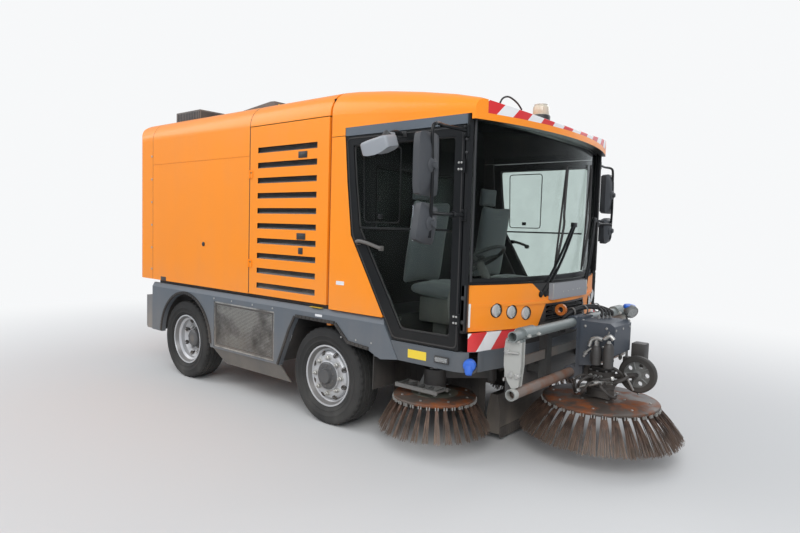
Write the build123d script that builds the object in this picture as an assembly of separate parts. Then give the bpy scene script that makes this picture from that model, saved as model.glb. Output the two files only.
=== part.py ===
from build123d import *
import os
from math import cos, pi, sin, sqrt

# Compact cab-over street sweeper. +X forward, +Y left, +Z up, ground at z = 0, millimetres.
# Lengths along X are measured from the rear axle here, and save() moves the origin to the middle.

os.makedirs("parts", exist_ok=True)

# Driving dimensions
HALF_WIDTH = 1040
WHEELBASE = 1980
TYRE_RADIUS = 372
WHEEL_Y = 907
KINGPIN_Y = 800
TAIL_REAR = -870
TAIL_SEAM = -588
HOPPER_FRONT = 1032
BAY_REAR = 1040
BAY_FRONT = 2003
CAB_REAR = 2025
BODY_LOW = 917
ROOF_Z = 2510
SHOULDER_R = 190
WALL = 40
SKIRT_TOP = 885
RAIL_Y = (350, 420)
RAIL_Z = (520, 680)
TIP_PIVOT = (-600, 880)
TAILGATE_PIVOT = (-585.5, 2526)
BEAM_X = 3520
BEAM_HALF = 950
TUBE_R = 33
UPPER_TUBE_Z = 880
LOWER_TUBE_Z = 525
FRONT_BRUSH = (3710, 0)
FRONT_TIP_R = 550
SIDE_BRUSH = (2820, 755)
SIDE_TIP_R = 395
SIDE_PIVOT = (3100, 475)
TIP_Z = 120
X_MIDDLE = (TAIL_REAR + FRONT_BRUSH[0] + FRONT_TIP_R) / 2


# Basic forms
def box(x0, x1, y0, y1, z0, z1):
    return Pos((x0 + x1) / 2, (y0 + y1) / 2, (z0 + z1) / 2) * Box(x1 - x0, y1 - y0, z1 - z0)


def side_prism(points, y0, y1):
    face = make_face(Polyline(*[(x, y0, z) for x, z in points], close=True))
    return extrude(face, amount=y1 - y0, dir=(0, 1, 0))


def plan_prism(points, z0, z1):
    face = make_face(Polyline(*[(x, y, z0) for x, y in points], close=True))
    return extrude(face, amount=z1 - z0, dir=(0, 0, 1))


def end_prism(points, x0, x1):
    face = make_face(Polyline(*[(x0, y, z) for y, z in points], close=True))
    return extrude(face, amount=x1 - x0, dir=(1, 0, 0))


def rod_y(x, z, radius, y0, y1):
    return Pos(x, (y0 + y1) / 2, z) * Rot(90, 0, 0) * Cylinder(radius, y1 - y0)


def rod_z(x, y, radius, z0, z1):
    return Pos(x, y, (z0 + z1) / 2) * Cylinder(radius, z1 - z0)


def rod_x(y, z, radius, x0, x1):
    return Pos((x0 + x1) / 2, y, z) * Rot(0, 90, 0) * Cylinder(radius, x1 - x0)


def bar(start, end, radius):
    a, b = Vector(*start), Vector(*end)
    plane = Plane(origin=a, z_dir=b - a)
    return extrude(plane * Circle(radius), amount=(b - a).length)


def other_side(shape):
    return mirror(shape, about=Plane.XZ)


def both(shape):
    return [shape, other_side(shape)]


def join(*shapes):
    flat = []
    for shape in shapes:
        flat.extend(shape if isinstance(shape, list) else [shape])
    return Part() + flat


def assembled(*shapes):
    solids = []
    for shape in shapes:
        for piece in shape if isinstance(shape, list) else [shape]:
            solids.extend(piece.solids())
    return Compound(solids)


def arch_face(x, half, low, roof, radius):
    bend = radius * (1 - cos(pi / 4))
    shoulder = roof - radius
    edges = [
        Line((x, -half, low), (x, -half, shoulder)),
        ThreePointArc((x, -half, shoulder), (x, -half + bend, roof - bend), (x, -half + radius, roof)),
        Line((x, -half + radius, roof), (x, half - radius, roof)),
        ThreePointArc((x, half - radius, roof), (x, half - bend, roof - bend), (x, half, shoulder)),
        Line((x, half, shoulder), (x, half, low)),
        Line((x, half, low), (x, -half, low)),
    ]
    return make_face(edges)


def arch_tube(x0, x1, half, low, roof, radius):
    return extrude(arch_face(x0, half, low, roof, radius), amount=x1 - x0, dir=(1, 0, 0))


def bowed_wall(side_x, mid_x, half, thick, z0, z1):
    edges = [
        ThreePointArc((side_x, -half, z0), (mid_x, 0, z0), (side_x, half, z0)),
        Line((side_x, half, z0), (side_x - thick, half, z0)),
        ThreePointArc((side_x - thick, half, z0), (mid_x - thick, 0, z0), (side_x - thick, -half, z0)),
        Line((side_x - thick, -half, z0), (side_x, -half, z0)),
    ]
    return extrude(make_face(edges), amount=z1 - z0, dir=(0, 0, 1))


def strips(shape, y_edges):
    return [shape & box(2000, 4000, y0, y1, 0, 3000) for y0, y1 in zip(y_edges[:-1], y_edges[1:])]


def bowed_x(side_x, mid_x, half, y):
    rise = mid_x - side_x
    radius = (half**2 + rise**2) / (2 * rise)
    return mid_x - radius + sqrt(radius**2 - y**2)


def save(name, shape):
    export_step(Pos(-X_MIDDLE, 0, 0) * shape, f"parts/{name}.step")


# Ladder frame of bolted members with both axles
CROSS_MEMBER_X = (-560, 480, 1000, 2520, 2960)


def rear_axle():
    housing = [rod_y(0, TYRE_RADIUS, 62, -800, 800), Pos(0, 0, TYRE_RADIUS) * Sphere(165)]
    springs = both(box(-70, 70, 355, 415, TYRE_RADIUS, RAIL_Z[0]))
    return join(housing, springs)


def front_axle():
    beam = box(WHEELBASE - 40, WHEELBASE + 40, -740, 740, 326, 414)
    eye = rod_z(WHEELBASE, KINGPIN_Y, 37, 330, 414) + box(WHEELBASE - 30, WHEELBASE + 30, 700, 790, 330, 414)
    springs = both(box(WHEELBASE - 60, WHEELBASE + 60, 355, 415, 400, RAIL_Z[0]))
    return join(beam, both(eye), springs) - both(rod_z(WHEELBASE, KINGPIN_Y, 20.4, 300, 440))


def tip_fork():
    cheeks = []
    for y0, y1 in ((352, 367), (403, 418)):
        plate = side_prism([(-635, RAIL_Z[1]), (-625, 880), (-575, 880), (-545, RAIL_Z[1])], y0, y1)
        cheeks.append(join(plate, rod_y(*TIP_PIVOT, 26, y0, y1)))
    return join(cheeks, rod_y(*TIP_PIVOT, 18, 352, 418))


def side_arm_bracket():
    block = box(3060, 3140, RAIL_Y[1], 525, 545, 640)
    pin = rod_z(*SIDE_PIVOT, 18, 440, 550)
    foot = rod_z(*SIDE_PIVOT, 30, 440, 452)
    return join(block, pin, foot)


def chassis_frame():
    rails = both(box(-640, 3150, *RAIL_Y, *RAIL_Z))
    crosses = [box(x, x + 60, -RAIL_Y[0], RAIL_Y[0], 550, 650) for x in CROSS_MEMBER_X]
    hopper_rest = box(900, 960, -RAIL_Y[1], RAIL_Y[1], RAIL_Z[1], 910)
    return assembled(rails, crosses, hopper_rest, both(tip_fork()), rear_axle(), front_axle(),
                     both(side_arm_bracket()))


def engine_block():
    return box(1150, 1850, -400, 400, RAIL_Z[1], 1350)


# Slate side skirts with round rear arch and faceted front arch
ARCH_CENTRE = (30, 385)
ARCH_R = 430
FRONT_ARCH = [(1453, 371), (1589, 676), (1655, 785), (2095, 785), (2230, 662), (2440, 645)]
MESH = (520, 1387, 385, 800)


PAN_OUTLINE = [(480, 385), (1453, 385), (1540, 235), (640, 235)]


def under_pan():
    sheet = end_prism([(-1034, 380), (-1024, 380), (-972, 235), (-982, 235)], 400, 1600)
    return sheet & side_prism(PAN_OUTLINE, -1100, -900)


def skirts():
    outline = [(-592, 400), (-592, SKIRT_TOP), (2556, SKIRT_TOP), (2636, 748), (2706, 622), (2551, 600)]
    outline += FRONT_ARCH[::-1] + [(470, 371)]
    outline += [(460, 400)]
    panel = side_prism(outline, -HALF_WIDTH, -HALF_WIDTH + WALL)
    panel -= rod_y(*ARCH_CENTRE, ARCH_R, -HALF_WIDTH - 5, -HALF_WIDTH + WALL + 5)
    panel -= box(ARCH_CENTRE[0] - ARCH_R, ARCH_CENTRE[0] + ARCH_R, -1100, -900, 300, ARCH_CENTRE[1])
    panel -= box(MESH[0], MESH[1], -1100, -900, MESH[2], MESH[3])
    bevel_outline = [(-1045, 845), (-1045, 890), (-1018, 890), (-1018, SKIRT_TOP), (-1040, 845)]
    bevel = end_prism(bevel_outline, -600, 2700)
    panel -= bevel
    hangers = [box(x, x + 50, -HALF_WIDTH + WALL, -RAIL_Y[1], 600, 660) for x in (-560, 1400)]
    front_hanger = box(2457, 2500, -HALF_WIDTH + WALL, -RAIL_Y[1], 600, 660)
    return join(both(join(panel, hangers, front_hanger, under_pan())))


def rubber_trim():
    arc = rod_y(*ARCH_CENTRE, ARCH_R + 26, -1048, -HALF_WIDTH)
    arc -= rod_y(*ARCH_CENTRE, ARCH_R, -1060, -1000)
    arc -= box(-700, 700, -1060, -1000, -200, 405)
    lip = []
    for (xa, za), (xb, zb) in zip(FRONT_ARCH[:-1], FRONT_ARCH[1:]):
        length = sqrt((xb - xa) ** 2 + (zb - za) ** 2)
        nx, nz = -(zb - za) / length * 24, (xb - xa) / length * 24
        rib = [(xa, za), (xb, zb), (xb + nx, zb + nz), (xa + nx, za + nz)]
        lip.append(side_prism(rib, -1048, -HALF_WIDTH))
    lip[2] = side_prism([(1655, 785), (2095, 785), (2095, 809), (1655, 809)], -1048, -HALF_WIDTH)
    flap = box(2450, 2457, -1000, -760, 360, 644)
    return join(both(join(*lip)), both(arc), both(flap))


def mesh_panels():
    x0, x1, z0, z1 = MESH
    plate = box(x0, x1, -1024, -1014, z0, z1)
    border = box(x0, x1, -1034, -1014, z0, z1) - box(x0 + 30, x1 - 30, -1050, -1000, z0 + 30, z1 - 30)
    return join(both(plate + border))


def rear_bumper():
    outer = side_prism([(-740, 420), (-725, 400), (-594, 400), (-594, 740), (-740, 740)], -1022, 1022)
    inner = box(-700, -590, -985, 985, 390, 800)
    stays = both(box(-702, -640, 360, 410, 560, 640))
    return join(outer - inner, stays)


# Tipping hopper with open rear, tailgate and roof boxes
def body_seams(shape, x0, x1):
    for sign in (-1, 1):
        shape -= box(x0 - 1, x1 + 1, sign * HALF_WIDTH - 3, sign * HALF_WIDTH + 3, 2072, 2076)
    return shape


def hopper_shell():
    x0 = TAIL_SEAM + 5
    shell = arch_tube(x0, HOPPER_FRONT, HALF_WIDTH, BODY_LOW, ROOF_Z, SHOULDER_R)
    inside = (HALF_WIDTH - WALL, BODY_LOW + WALL, ROOF_Z - WALL, SHOULDER_R - WALL)
    shell -= arch_tube(x0 - 5, HOPPER_FRONT - WALL, *inside)
    shell = body_seams(shell, x0, HOPPER_FRONT)
    lug = side_prism([(-610, 870), (-585, 870), (-540, 925), (-572, 925)], 372, 398)
    lug += rod_y(*TIP_PIVOT, 26, 372, 398)
    lug -= rod_y(*TIP_PIVOT, 18.4, 360, 410)
    leaves = []
    for y in (-350, 350):
        leaf = box(-565, -500, y - 60, y + 60, ROOF_Z - 2, ROOF_Z + 8)
        knuckle = rod_y(*TAILGATE_PIVOT, 14, y - 28, y + 28)
        neck = box(-585.5, -550, y - 28, y + 28, ROOF_Z + 2, ROOF_Z + 14)
        leaves.append(join(leaf, knuckle, neck) - rod_y(*TAILGATE_PIVOT, 6.4, y - 80, y + 80))
    return join(shell, both(lug), leaves)


def roof_boxes():
    vent = box(-560, -120, -800, -480, ROOF_Z, 2625)
    cowl = side_prism([(140, ROOF_Z), (920, ROOF_Z), (920, 2605), (860, 2608), (140, 2535)], -700, -530)
    return join(vent, cowl)


def rounded_tail(x_rear, x_front, half, low, roof, radius, corner):
    tube = arch_tube(x_rear, x_front, half, low, roof, radius)
    bend = corner * (1 - cos(pi / 4))
    plan = [
        Line((x_front, -half, low - 10), (x_rear + corner, -half, low - 10)),
        ThreePointArc((x_rear + corner, -half, low - 10), (x_rear + bend, -half + bend, low - 10),
                      (x_rear, -half + corner, low - 10)),
        Line((x_rear, -half + corner, low - 10), (x_rear, half - corner, low - 10)),
        ThreePointArc((x_rear, half - corner, low - 10), (x_rear + bend, half - bend, low - 10),
                      (x_rear + corner, half, low - 10)),
        Line((x_rear + corner, half, low - 10), (x_front, half, low - 10)),
        Line((x_front, half, low - 10), (x_front, -half, low - 10)),
    ]
    side = [
        Line((x_front, -half - 10, low), (x_rear + corner, -half - 10, low)),
        ThreePointArc((x_rear + corner, -half - 10, low), (x_rear + bend, -half - 10, low + bend),
                      (x_rear, -half - 10, low + corner)),
        Line((x_rear, -half - 10, low + corner), (x_rear, -half - 10, roof - corner)),
        ThreePointArc((x_rear, -half - 10, roof - corner), (x_rear + bend, -half - 10, roof - bend),
                      (x_rear + corner, -half - 10, roof)),
        Line((x_rear + corner, -half - 10, roof), (x_front, -half - 10, roof)),
        Line((x_front, -half - 10, roof), (x_front, -half - 10, low)),
    ]
    plan_solid = extrude(make_face(plan), amount=roof - low + 20, dir=(0, 0, 1))
    side_solid = extrude(make_face(side), amount=2 * half + 20, dir=(0, 1, 0))
    return tube & plan_solid & side_solid


def tailgate():
    shell = rounded_tail(TAIL_REAR, TAIL_SEAM, HALF_WIDTH, BODY_LOW, ROOF_Z, SHOULDER_R, 80)
    shell -= arch_tube(TAIL_REAR + WALL, TAIL_SEAM + 5, HALF_WIDTH - WALL, BODY_LOW + WALL, ROOF_Z - WALL,
                       SHOULDER_R - WALL)
    hinges = []
    for y in (-350, 350):
        leaf = box(-670, -608, y - 60, y + 60, ROOF_Z - 2, ROOF_Z + 8)
        ears = [rod_y(*TAILGATE_PIVOT, 14, y + a, y + b) for a, b in ((-60, -33), (33, 60))]
        necks = [box(-612, -585.5, y + a, y + b, ROOF_Z + 2, ROOF_Z + 14) for a, b in ((-60, -33), (33, 60))]
        pin = rod_y(*TAILGATE_PIVOT, 6, y - 60, y + 60)
        hinges.append(join(leaf, ears, necks, pin))
    return join(shell, hinges)


# Fixed engine bay with roof and bulkheads, and its louvred doors
def bay_housing():
    shell = arch_tube(BAY_REAR, BAY_FRONT, HALF_WIDTH, 2318, ROOF_Z, SHOULDER_R)
    shell -= arch_tube(BAY_REAR - 5, BAY_FRONT + 5, HALF_WIDTH - WALL, 2300, ROOF_Z - WALL, SHOULDER_R - WALL)
    bulkheads = [arch_tube(x, x + 40, HALF_WIDTH - 45, 760, ROOF_Z - 30, SHOULDER_R - 40)
                 for x in (BAY_REAR, BAY_FRONT - 40)]
    legs = []
    for x in (BAY_REAR, BAY_FRONT - 40):
        legs += both(box(x, x + 40, *RAIL_Y, RAIL_Z[1], 770))
    return join(shell, bulkheads, legs)


SLOT_COUNT = 10
SLOT_PITCH = 124
SLOT_TOP = 2138
SLOT_X = (1147, 1869)
SLOT_HEIGHT = 48


def louvre_door():
    outer_y = -HALF_WIDTH
    door = box(BAY_REAR + 2, BAY_FRONT - 7, outer_y, outer_y + WALL, BODY_LOW + 2, 2312)
    for row in range(SLOT_COUNT):
        top = SLOT_TOP - row * SLOT_PITCH
        inner_y = outer_y + 26
        pocket = [(outer_y - 1, top), (inner_y, top), (inner_y, top - 14), (outer_y - 1, top - SLOT_HEIGHT)]
        door -= end_prism(pocket, *SLOT_X)
    for z in (1177, 1923):
        barrel = rod_z(1040, outer_y - 8, 8, z - 35, z + 35)
        leaf = box(1043, 1080, outer_y - 6, outer_y + 2, z - 30, z + 30)
        web = box(1040, 1050, outer_y - 8, outer_y - 2, z - 30, z + 30)
        door += join(barrel, leaf, web)
    return door


# Cab
FLOOR_SHEETS = (
    [(2072, 840), (2480, 840), (2500, 880), (2072, 880)],
    [(2480, 840), (2620, 690), (2640, 730), (2500, 880)],
    [(2620, 690), (3200, 690), (3200, 730), (2640, 730)],
)
RAIL_LOW = 2155
CAB_TOP = 2215
PILLAR = [(3200, -1038), (3224, -1038), (3234, -1014), (3222, -980), (3200, -980)]
REAR_PANE_HALF = 600
REAR_PANE_Z = (1480, 2000)
GLASS_SIDE = 3207
GLASS_MID = 3370
GLASS_HALF = 980
PANEL_SIDE = 3218
PANEL_MID = 3440
PANEL_HALF = 978
# Bowed walls are made of upright strips between these places along Y
GLASS_EDGES = (-945, -675, -405, -135, 135, 405, 675, 945)
SEAL_EDGES = (-GLASS_HALF, -640, -320, 0, 320, 640, GLASS_HALF)
PANEL_EDGES = (-PANEL_HALF, -712, -585, -440, -310, -105, 105, 310, 440, 585, 712, PANEL_HALF)


def cab_frame():
    floor = [side_prism(sheet, -990, 990) for sheet in FLOOR_SHEETS]
    rear_x = (CAB_REAR + 5, 2072)
    low, high = REAR_PANE_Z
    rear = both(box(*rear_x, -990, -REAR_PANE_HALF, 840, CAB_TOP))
    rear += [box(*rear_x, -REAR_PANE_HALF, REAR_PANE_HALF, 840, low)]
    rear += [box(*rear_x, -REAR_PANE_HALF, REAR_PANE_HALF, high, CAB_TOP)]
    legs = both(box(*rear_x, *RAIL_Y, RAIL_Z[1], 840))
    front_legs = both(box(3000, 3060, *RAIL_Y, RAIL_Z[1], 690))
    pillars = both(plan_prism(PILLAR, 870, CAB_TOP)) + both(box(3165, 3200, -996, -980, 870, CAB_TOP))
    top_rails = both(box(2168, 3200, -HALF_WIDTH, -HALF_WIDTH + 42, RAIL_LOW, CAB_TOP))
    firewall = box(3140, 3170, -980, 980, 730, 1166)
    sill = strips(bowed_wall(GLASS_SIDE + 5, PANEL_MID - 15, GLASS_HALF, 110, 1166, 1176), SEAL_EDGES)
    low_seal = strips(bowed_wall(GLASS_SIDE, GLASS_MID, GLASS_HALF, 30, 1176, 1205), SEAL_EDGES)
    top_seal = strips(bowed_wall(GLASS_SIDE, GLASS_MID, GLASS_HALF, 30, 2180, CAB_TOP), SEAL_EDGES)
    ring = bowed_wall(GLASS_SIDE, GLASS_MID, GLASS_HALF, 30, 1205, 2180)
    side_seals = both(ring & box(3000, 3500, GLASS_EDGES[-1], 990, 1205, 2180))
    seals = low_seal + top_seal + side_seals
    return assembled(floor, rear, legs, front_legs, pillars, top_rails, firewall, sill, seals)


def cab_glass():
    screen = bowed_wall(GLASS_SIDE - 8, GLASS_MID - 8, GLASS_HALF, 10, 1205, 2180)
    rear_pane = box(2045, 2053, -REAR_PANE_HALF, REAR_PANE_HALF, *REAR_PANE_Z)
    return assembled(strips(screen, GLASS_EDGES), rear_pane)


BROW_SIDE = 3262
BROW_MID = 3445
# Roof sections along X: place, height and shoulder radius
ROOF_SECTIONS = ((CAB_REAR, 2510, 190), (2150, 2503, 190), (2450, 2470, 180), (2750, 2425, 160),
                 (3050, 2368, 120), (3250, 2318, 80), (3380, 2272, 50), (3460, 2235, 30))


def roof_height(x):
    for (x0, z0, _), (x1, z1, _) in zip(ROOF_SECTIONS[:-1], ROOF_SECTIONS[1:]):
        if x <= x1:
            return z0 + (z1 - z0) * (x - x0) / (x1 - x0)
    return ROOF_SECTIONS[-1][1]


def roof_loft(sections, half, low):
    return loft([arch_face(x, half, low, roof, radius) for x, roof, radius in sections], ruled=True)


def cab_roof():
    outer = roof_loft(ROOF_SECTIONS, HALF_WIDTH, 2180)
    inner_sections = [(max(x, CAB_REAR + WALL), roof - WALL, radius - WALL + 5)
                      for x, roof, radius in ROOF_SECTIONS[:5]]
    inner_sections.append((3200, roof_height(3200) - WALL, 60))
    inner = roof_loft(inner_sections, HALF_WIDTH - WALL, 2150)
    nose = bowed_wall(BROW_SIDE, BROW_MID, HALF_WIDTH, 400, 2100, 2600)
    nose += box(CAB_REAR, 3150, -1100, 1100, 2100, 2600)
    cap = (outer & nose) - inner
    cap -= box(2000, GLASS_SIDE + 30, -1100, 1100, 2100, CAB_TOP)
    cap -= bowed_wall(GLASS_SIDE + 4, GLASS_MID + 4, 1050, 300, 2100, CAB_TOP)
    rear_tabs = both(box(CAB_REAR, 2164, -HALF_WIDTH, -1000, 2160, CAB_TOP + 5))
    return join(cap, rear_tabs)


def cab_side_panels():
    outline = [(CAB_REAR, 892), (CAB_REAR, 2156), (2164, 2156), (2192, 1843), (2240, 1450), (2560, 908)]
    outline.append((2555, 892))
    return join(both(side_prism(outline, -HALF_WIDTH, -995)))


DOOR = [(2174, 2149), (3192, 2149), (3192, 756), (2656, 756), (2640, 790), (2250, 1450), (2202, 1843)]
DOOR_HOLE = [(2246, 2085), (3120, 2085), (3120, 835), (2722, 835), (2318, 1500), (2270, 1850)]


def door_frame():
    frame = side_prism(DOOR, -HALF_WIDTH, -1000)
    frame -= side_prism(DOOR_HOLE, -1060, -980)
    frame += box(2300, 2400, -1060, -1035, 1390, 1425)
    for z in (950, 1900):
        barrel = rod_z(3197, -1048, 8, z - 40, z + 40)
        leaf = box(3150, 3190, -1046, -1038, z - 35, z + 35)
        knuckle_strap = box(3185, 3197, -1048, -1042, z - 35, z + 35)
        frame += join(barrel, leaf, knuckle_strap)
    return frame


def kerb_mirror():
    arm = bar((2700, -1030, 2125), (2700, -1170, 2115), 9)
    drop = bar((2700, -1165, 2120), (2660, -1195, 2060), 9)
    head = Pos(2640, -1205, 2040) * Rot(12, -10, 0) * Box(210, 110, 60)
    return join(arm, drop, head)


def door_glass():
    return side_prism(DOOR_HOLE, -1026, -1020)


LAMPS = ((520, 970), (650, 985), (775, 1000))
LAMP_R = 42


def cab_front_panel():
    panel = bowed_wall(PANEL_SIDE, PANEL_MID, PANEL_HALF, WALL, 872, 1165)
    panel += bowed_wall(PANEL_SIDE + 6, PANEL_MID + 8, PANEL_HALF - 10, WALL, 1025, 1045)
    panel -= plan_prism([(3100, -310), (3600, -310), (3600, 310), (3100, 310)], 850, 1005)
    for y, z in LAMPS:
        for side in (-1, 1):
            panel -= rod_x(side * y, z, LAMP_R + 4, 3100, 3600)
    stays = [stay - panel for stay in both(box(3171, 3365, 420, 480, 1080, 1140))]
    back_x = 3378
    eye_x = PANEL_MID + 40
    eye = rod_y(eye_x, 975, 40, -212, -188) + box(back_x, eye_x, -212, -188, 958, 992)
    eye -= rod_y(eye_x, 975, 20, -250, -150)
    slats = [box(back_x, 3415, -310, 310, z, z + 14) - eye for z in (880, 910, 940, 970)]
    back = box(back_x - 12, back_x, -310, 310, 872, 1030)
    plate = box(3425, 3456, -290, 290, 1048, 1160) - panel
    return assembled(strips(panel, PANEL_EDGES), stays, eye, slats, back, plate)


def lamps():
    bodies = []
    for y, z in LAMPS:
        x = bowed_x(PANEL_SIDE, PANEL_MID, PANEL_HALF, y)
        for side in (-1, 1):
            bodies.append(rod_x(side * y, z, LAMP_R, x - 45, x + 2))
    rear = both(box(-752, -740, 780, 990, 560, 720))
    base_z = roof_height(3190)
    beacon = rod_z(3190, -60, 62, base_z - 20, base_z + 30) + rod_z(3190, -60, 50, base_z + 30, base_z + 105)
    markers = both(box(3020, 3130, -1048, -HALF_WIDTH, 665, 700))
    return join(bodies, rear, markers), beacon


SEAT_Y = 470
STEER_HUB = (2955, -SEAT_Y, 1297)


def seat():
    post = box(2650, 2780, SEAT_Y - 120, SEAT_Y + 120, 731, 820)
    base = box(2560, 2860, SEAT_Y - 180, SEAT_Y + 180, 820, 1005)
    cushion = box(2520, 2960, SEAT_Y - 240, SEAT_Y + 240, 1005, 1120)
    back = side_prism([(2500, 1120), (2585, 1120), (2500, 1720), (2430, 1720)], SEAT_Y - 220, SEAT_Y + 220)
    head = side_prism([(2430, 1720), (2495, 1720), (2475, 1880), (2415, 1880)], SEAT_Y - 120, SEAT_Y + 120)
    return [post, base, cushion, back, head]


def steering_wheel():
    tilt = Pos(*STEER_HUB) * Rot(0, -32, 0)
    column = bar((3080, -SEAT_Y, 1100), (2960, -SEAT_Y, 1290), 28)
    return join(column, tilt * Torus(200, 14), tilt * Box(390, 34, 14), tilt * Cylinder(55, 24))


def cab_interior():
    dash = side_prism([(3000, 1000), (3139, 1000), (3139, 1150), (3100, 1162), (3020, 1120)], -900, 900)
    dash_legs = [box(3090, 3139, y - 40, y + 40, 731, 1000) for y in (-800, 0, 800)]
    seats = seat() + [other_side(piece) for piece in seat()]
    return assembled(dash, dash_legs, steering_wheel() - dash, seats)


# Mirrors on tube arms
def mirrors():
    x, y = 3165, -1388
    mast = bar((x, y, 1450), (x, y, 2118), 11)
    top = bar((x, y, 2107), (3212, -1030, 2107), 11)
    low = bar((x, y, 1600), (3212, -1030, 1600), 11)
    main = box(x - 26, x + 34, y - 92, y + 92, 1695, 2060)
    wide = box(x - 26, x + 34, y - 92, y + 92, 1425, 1655)
    arms = join(mast, top, low, main, wide) - box(3100, 3300, -1038, -900, 1400, 2200)
    return join(both(arms))


# Slate sill and front bumper in one band with the striped corner boards.
# The apron ends above the raised front brush.
APRON_LOW = 430
APRON_HALF = 620


def bumper_plan(grow, z0, z1):
    half = HALF_WIDTH + grow
    corner_x, nose_side, nose_mid = 3160 + grow / 2, 3290 + grow, 3392 + grow
    edges = [
        Line((2600, -half, z0), (corner_x, -half, z0)),
        ThreePointArc((corner_x, -half, z0), (corner_x + 88, -half + 45, z0), (nose_side, -half + 150, z0)),
        ThreePointArc((nose_side, -half + 150, z0), (nose_mid, 0, z0), (nose_side, half - 150, z0)),
        ThreePointArc((nose_side, half - 150, z0), (corner_x + 88, half - 45, z0), (corner_x, half, z0)),
        Line((corner_x, half, z0), (2600, half, z0)),
        Line((2600, half, z0), (2600, -half, z0)),
    ]
    return extrude(make_face(edges), amount=z1 - z0, dir=(0, 0, 1))


def front_bumper():
    band = bumper_plan(0, 622, 749) - bumper_plan(-WALL, 600, 800)
    band -= box(3100, 3280, -996, 996, 600, 800)
    rear_end = [(2500, 600), (2712, 600), (2712, 622), (2642, 748), (2642, 800), (2500, 800)]
    band -= side_prism(rear_end, -1100, 1100)
    board = bumper_plan(-6, 749, 866) - bumper_plan(-WALL, 740, 880)
    board -= box(2500, 3236, -1100, 1100, 700, 900)
    apron = bumper_plan(-14, APRON_LOW, 630) - bumper_plan(-WALL, 390, 640)
    apron &= box(3250, 3600, -APRON_HALF, APRON_HALF, 380, 650)
    apron -= join(both(box(3200, 3500, 352, 428, 550, 628)))
    stays = both(box(3150, 3362, *RAIL_Y, 650, 679))
    side_stays = both(box(2900, 2950, -1001, -420, 630, 660))
    return join(band, board, apron, stays, side_stays)


# Cross tubes for the front brush
BRACKET_OUTLINE = [(3458, 862), (3564, 862), (3564, 700), (3552, 575), (3512, 552), (3476, 600), (3450, 690),
                   (3450, 800)]
BRACKET_PLATES = ((868, 880), (905, 917))


def beam_bracket():
    hole = rod_y(3499, 643, 14, 850, 930)
    plates = [side_prism(BRACKET_OUTLINE, y0, y1) - hole for y0, y1 in BRACKET_PLATES]
    spacer = rod_y(3470, 780, 12, BRACKET_PLATES[0][0], BRACKET_PLATES[1][1] + 12)
    bolt = rod_y(3545, 640, 10, BRACKET_PLATES[0][0], BRACKET_PLATES[1][1] + 8)
    flange = box(3450, 3462, 880, 905, 620, 800)
    return join(plates, spacer, bolt, flange)


def front_beam():
    tubes = [rod_y(BEAM_X, z, TUBE_R, -BEAM_HALF, BEAM_HALF) for z in (UPPER_TUBE_Z, LOWER_TUBE_Z)]
    saddle = rod_y(BEAM_X, UPPER_TUBE_Z, TUBE_R + 14, 700, 850)
    saddle &= box(3400, 3600, 600, 900, UPPER_TUBE_Z, 1000)
    arms = both(box(3150, 3450, 362, 418, 560, 618))
    posts = both(box(3440, 3500, 362, 432, LOWER_TUBE_Z - 20, UPPER_TUBE_Z + 20))
    flat_bar = box(3474, 3486, -870, 870, 667, 727)
    sockets = [rod_y(BEAM_X, UPPER_TUBE_Z, TUBE_R - 6, s * 950 - 60, s * 950 + 60) for s in (-1, 1)]
    sockets += [rod_y(BEAM_X, LOWER_TUBE_Z, TUBE_R - 6, s * 950 - 60, s * 950 + 60) for s in (-1, 1)]
    return join(tubes, both(saddle), both(beam_bracket()), arms, posts, flat_bar) - sockets


def suction_nozzle():
    hood = side_prism([(3035, 50), (3140, 50), (3140, 220), (3115, 335), (3060, 335), (3035, 220)], -395, 395)
    throat = [(3045, 40), (3130, 40), (3130, 215), (3105, 300), (3070, 300), (3045, 215)]
    hood -= side_prism(throat, -380, 380)
    duct = box(3055, 3120, -150, 150, 330, 690)
    return join(hood, duct)


# Knuckles and wheels
def knuckle():
    y = -KINGPIN_Y
    pin = rod_z(WHEELBASE, y, 20, 290, 455)
    ears = [rod_z(WHEELBASE, y, 34, 290, 323), rod_z(WHEELBASE, y, 34, 421, 455)]
    web = box(WHEELBASE - 45, WHEELBASE + 45, y - 64, y - 45, 290, 455)
    bridges = [box(WHEELBASE - 30, WHEELBASE + 30, y - 50, y - 10, 290, 323),
               box(WHEELBASE - 30, WHEELBASE + 30, y - 50, y - 10, 421, 455)]
    spindle = rod_y(WHEELBASE, TYRE_RADIUS, 38, y - 118, y - 60)
    return join(pin, ears, web, bridges, spindle)


def spun(profile):
    face = make_face(Polyline(*[(r, 0, u) for r, u in profile], close=True))
    return revolve(face, axis=Axis.Z)


TYRE_PROFILE = [(222.5, -80), (236, -80), (246, -98), (295, -112), (345, -107), (366, -96), (372, -80),
                (372, 80), (366, 96), (345, 107), (295, 112), (246, 98), (236, 80), (222.5, 80)]
BARREL = [(196, -92), (235, -92), (235, -82), (222, -80), (222, -58), (200, -40),
          (200, 40), (222, 58), (222, 80), (235, 82), (235, 92), (224, 92), (208, 60),
          (188, 42), (188, -40), (208, -60), (208, -84), (196, -84)]
STUD_CIRCLE_R = 137.5
STUD_COUNT = 8


def polar(count, radius, make):
    return [Pos(radius * cos(2 * pi * k / count), radius * sin(2 * pi * k / count), 0) * make()
            for k in range(count)]


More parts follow.
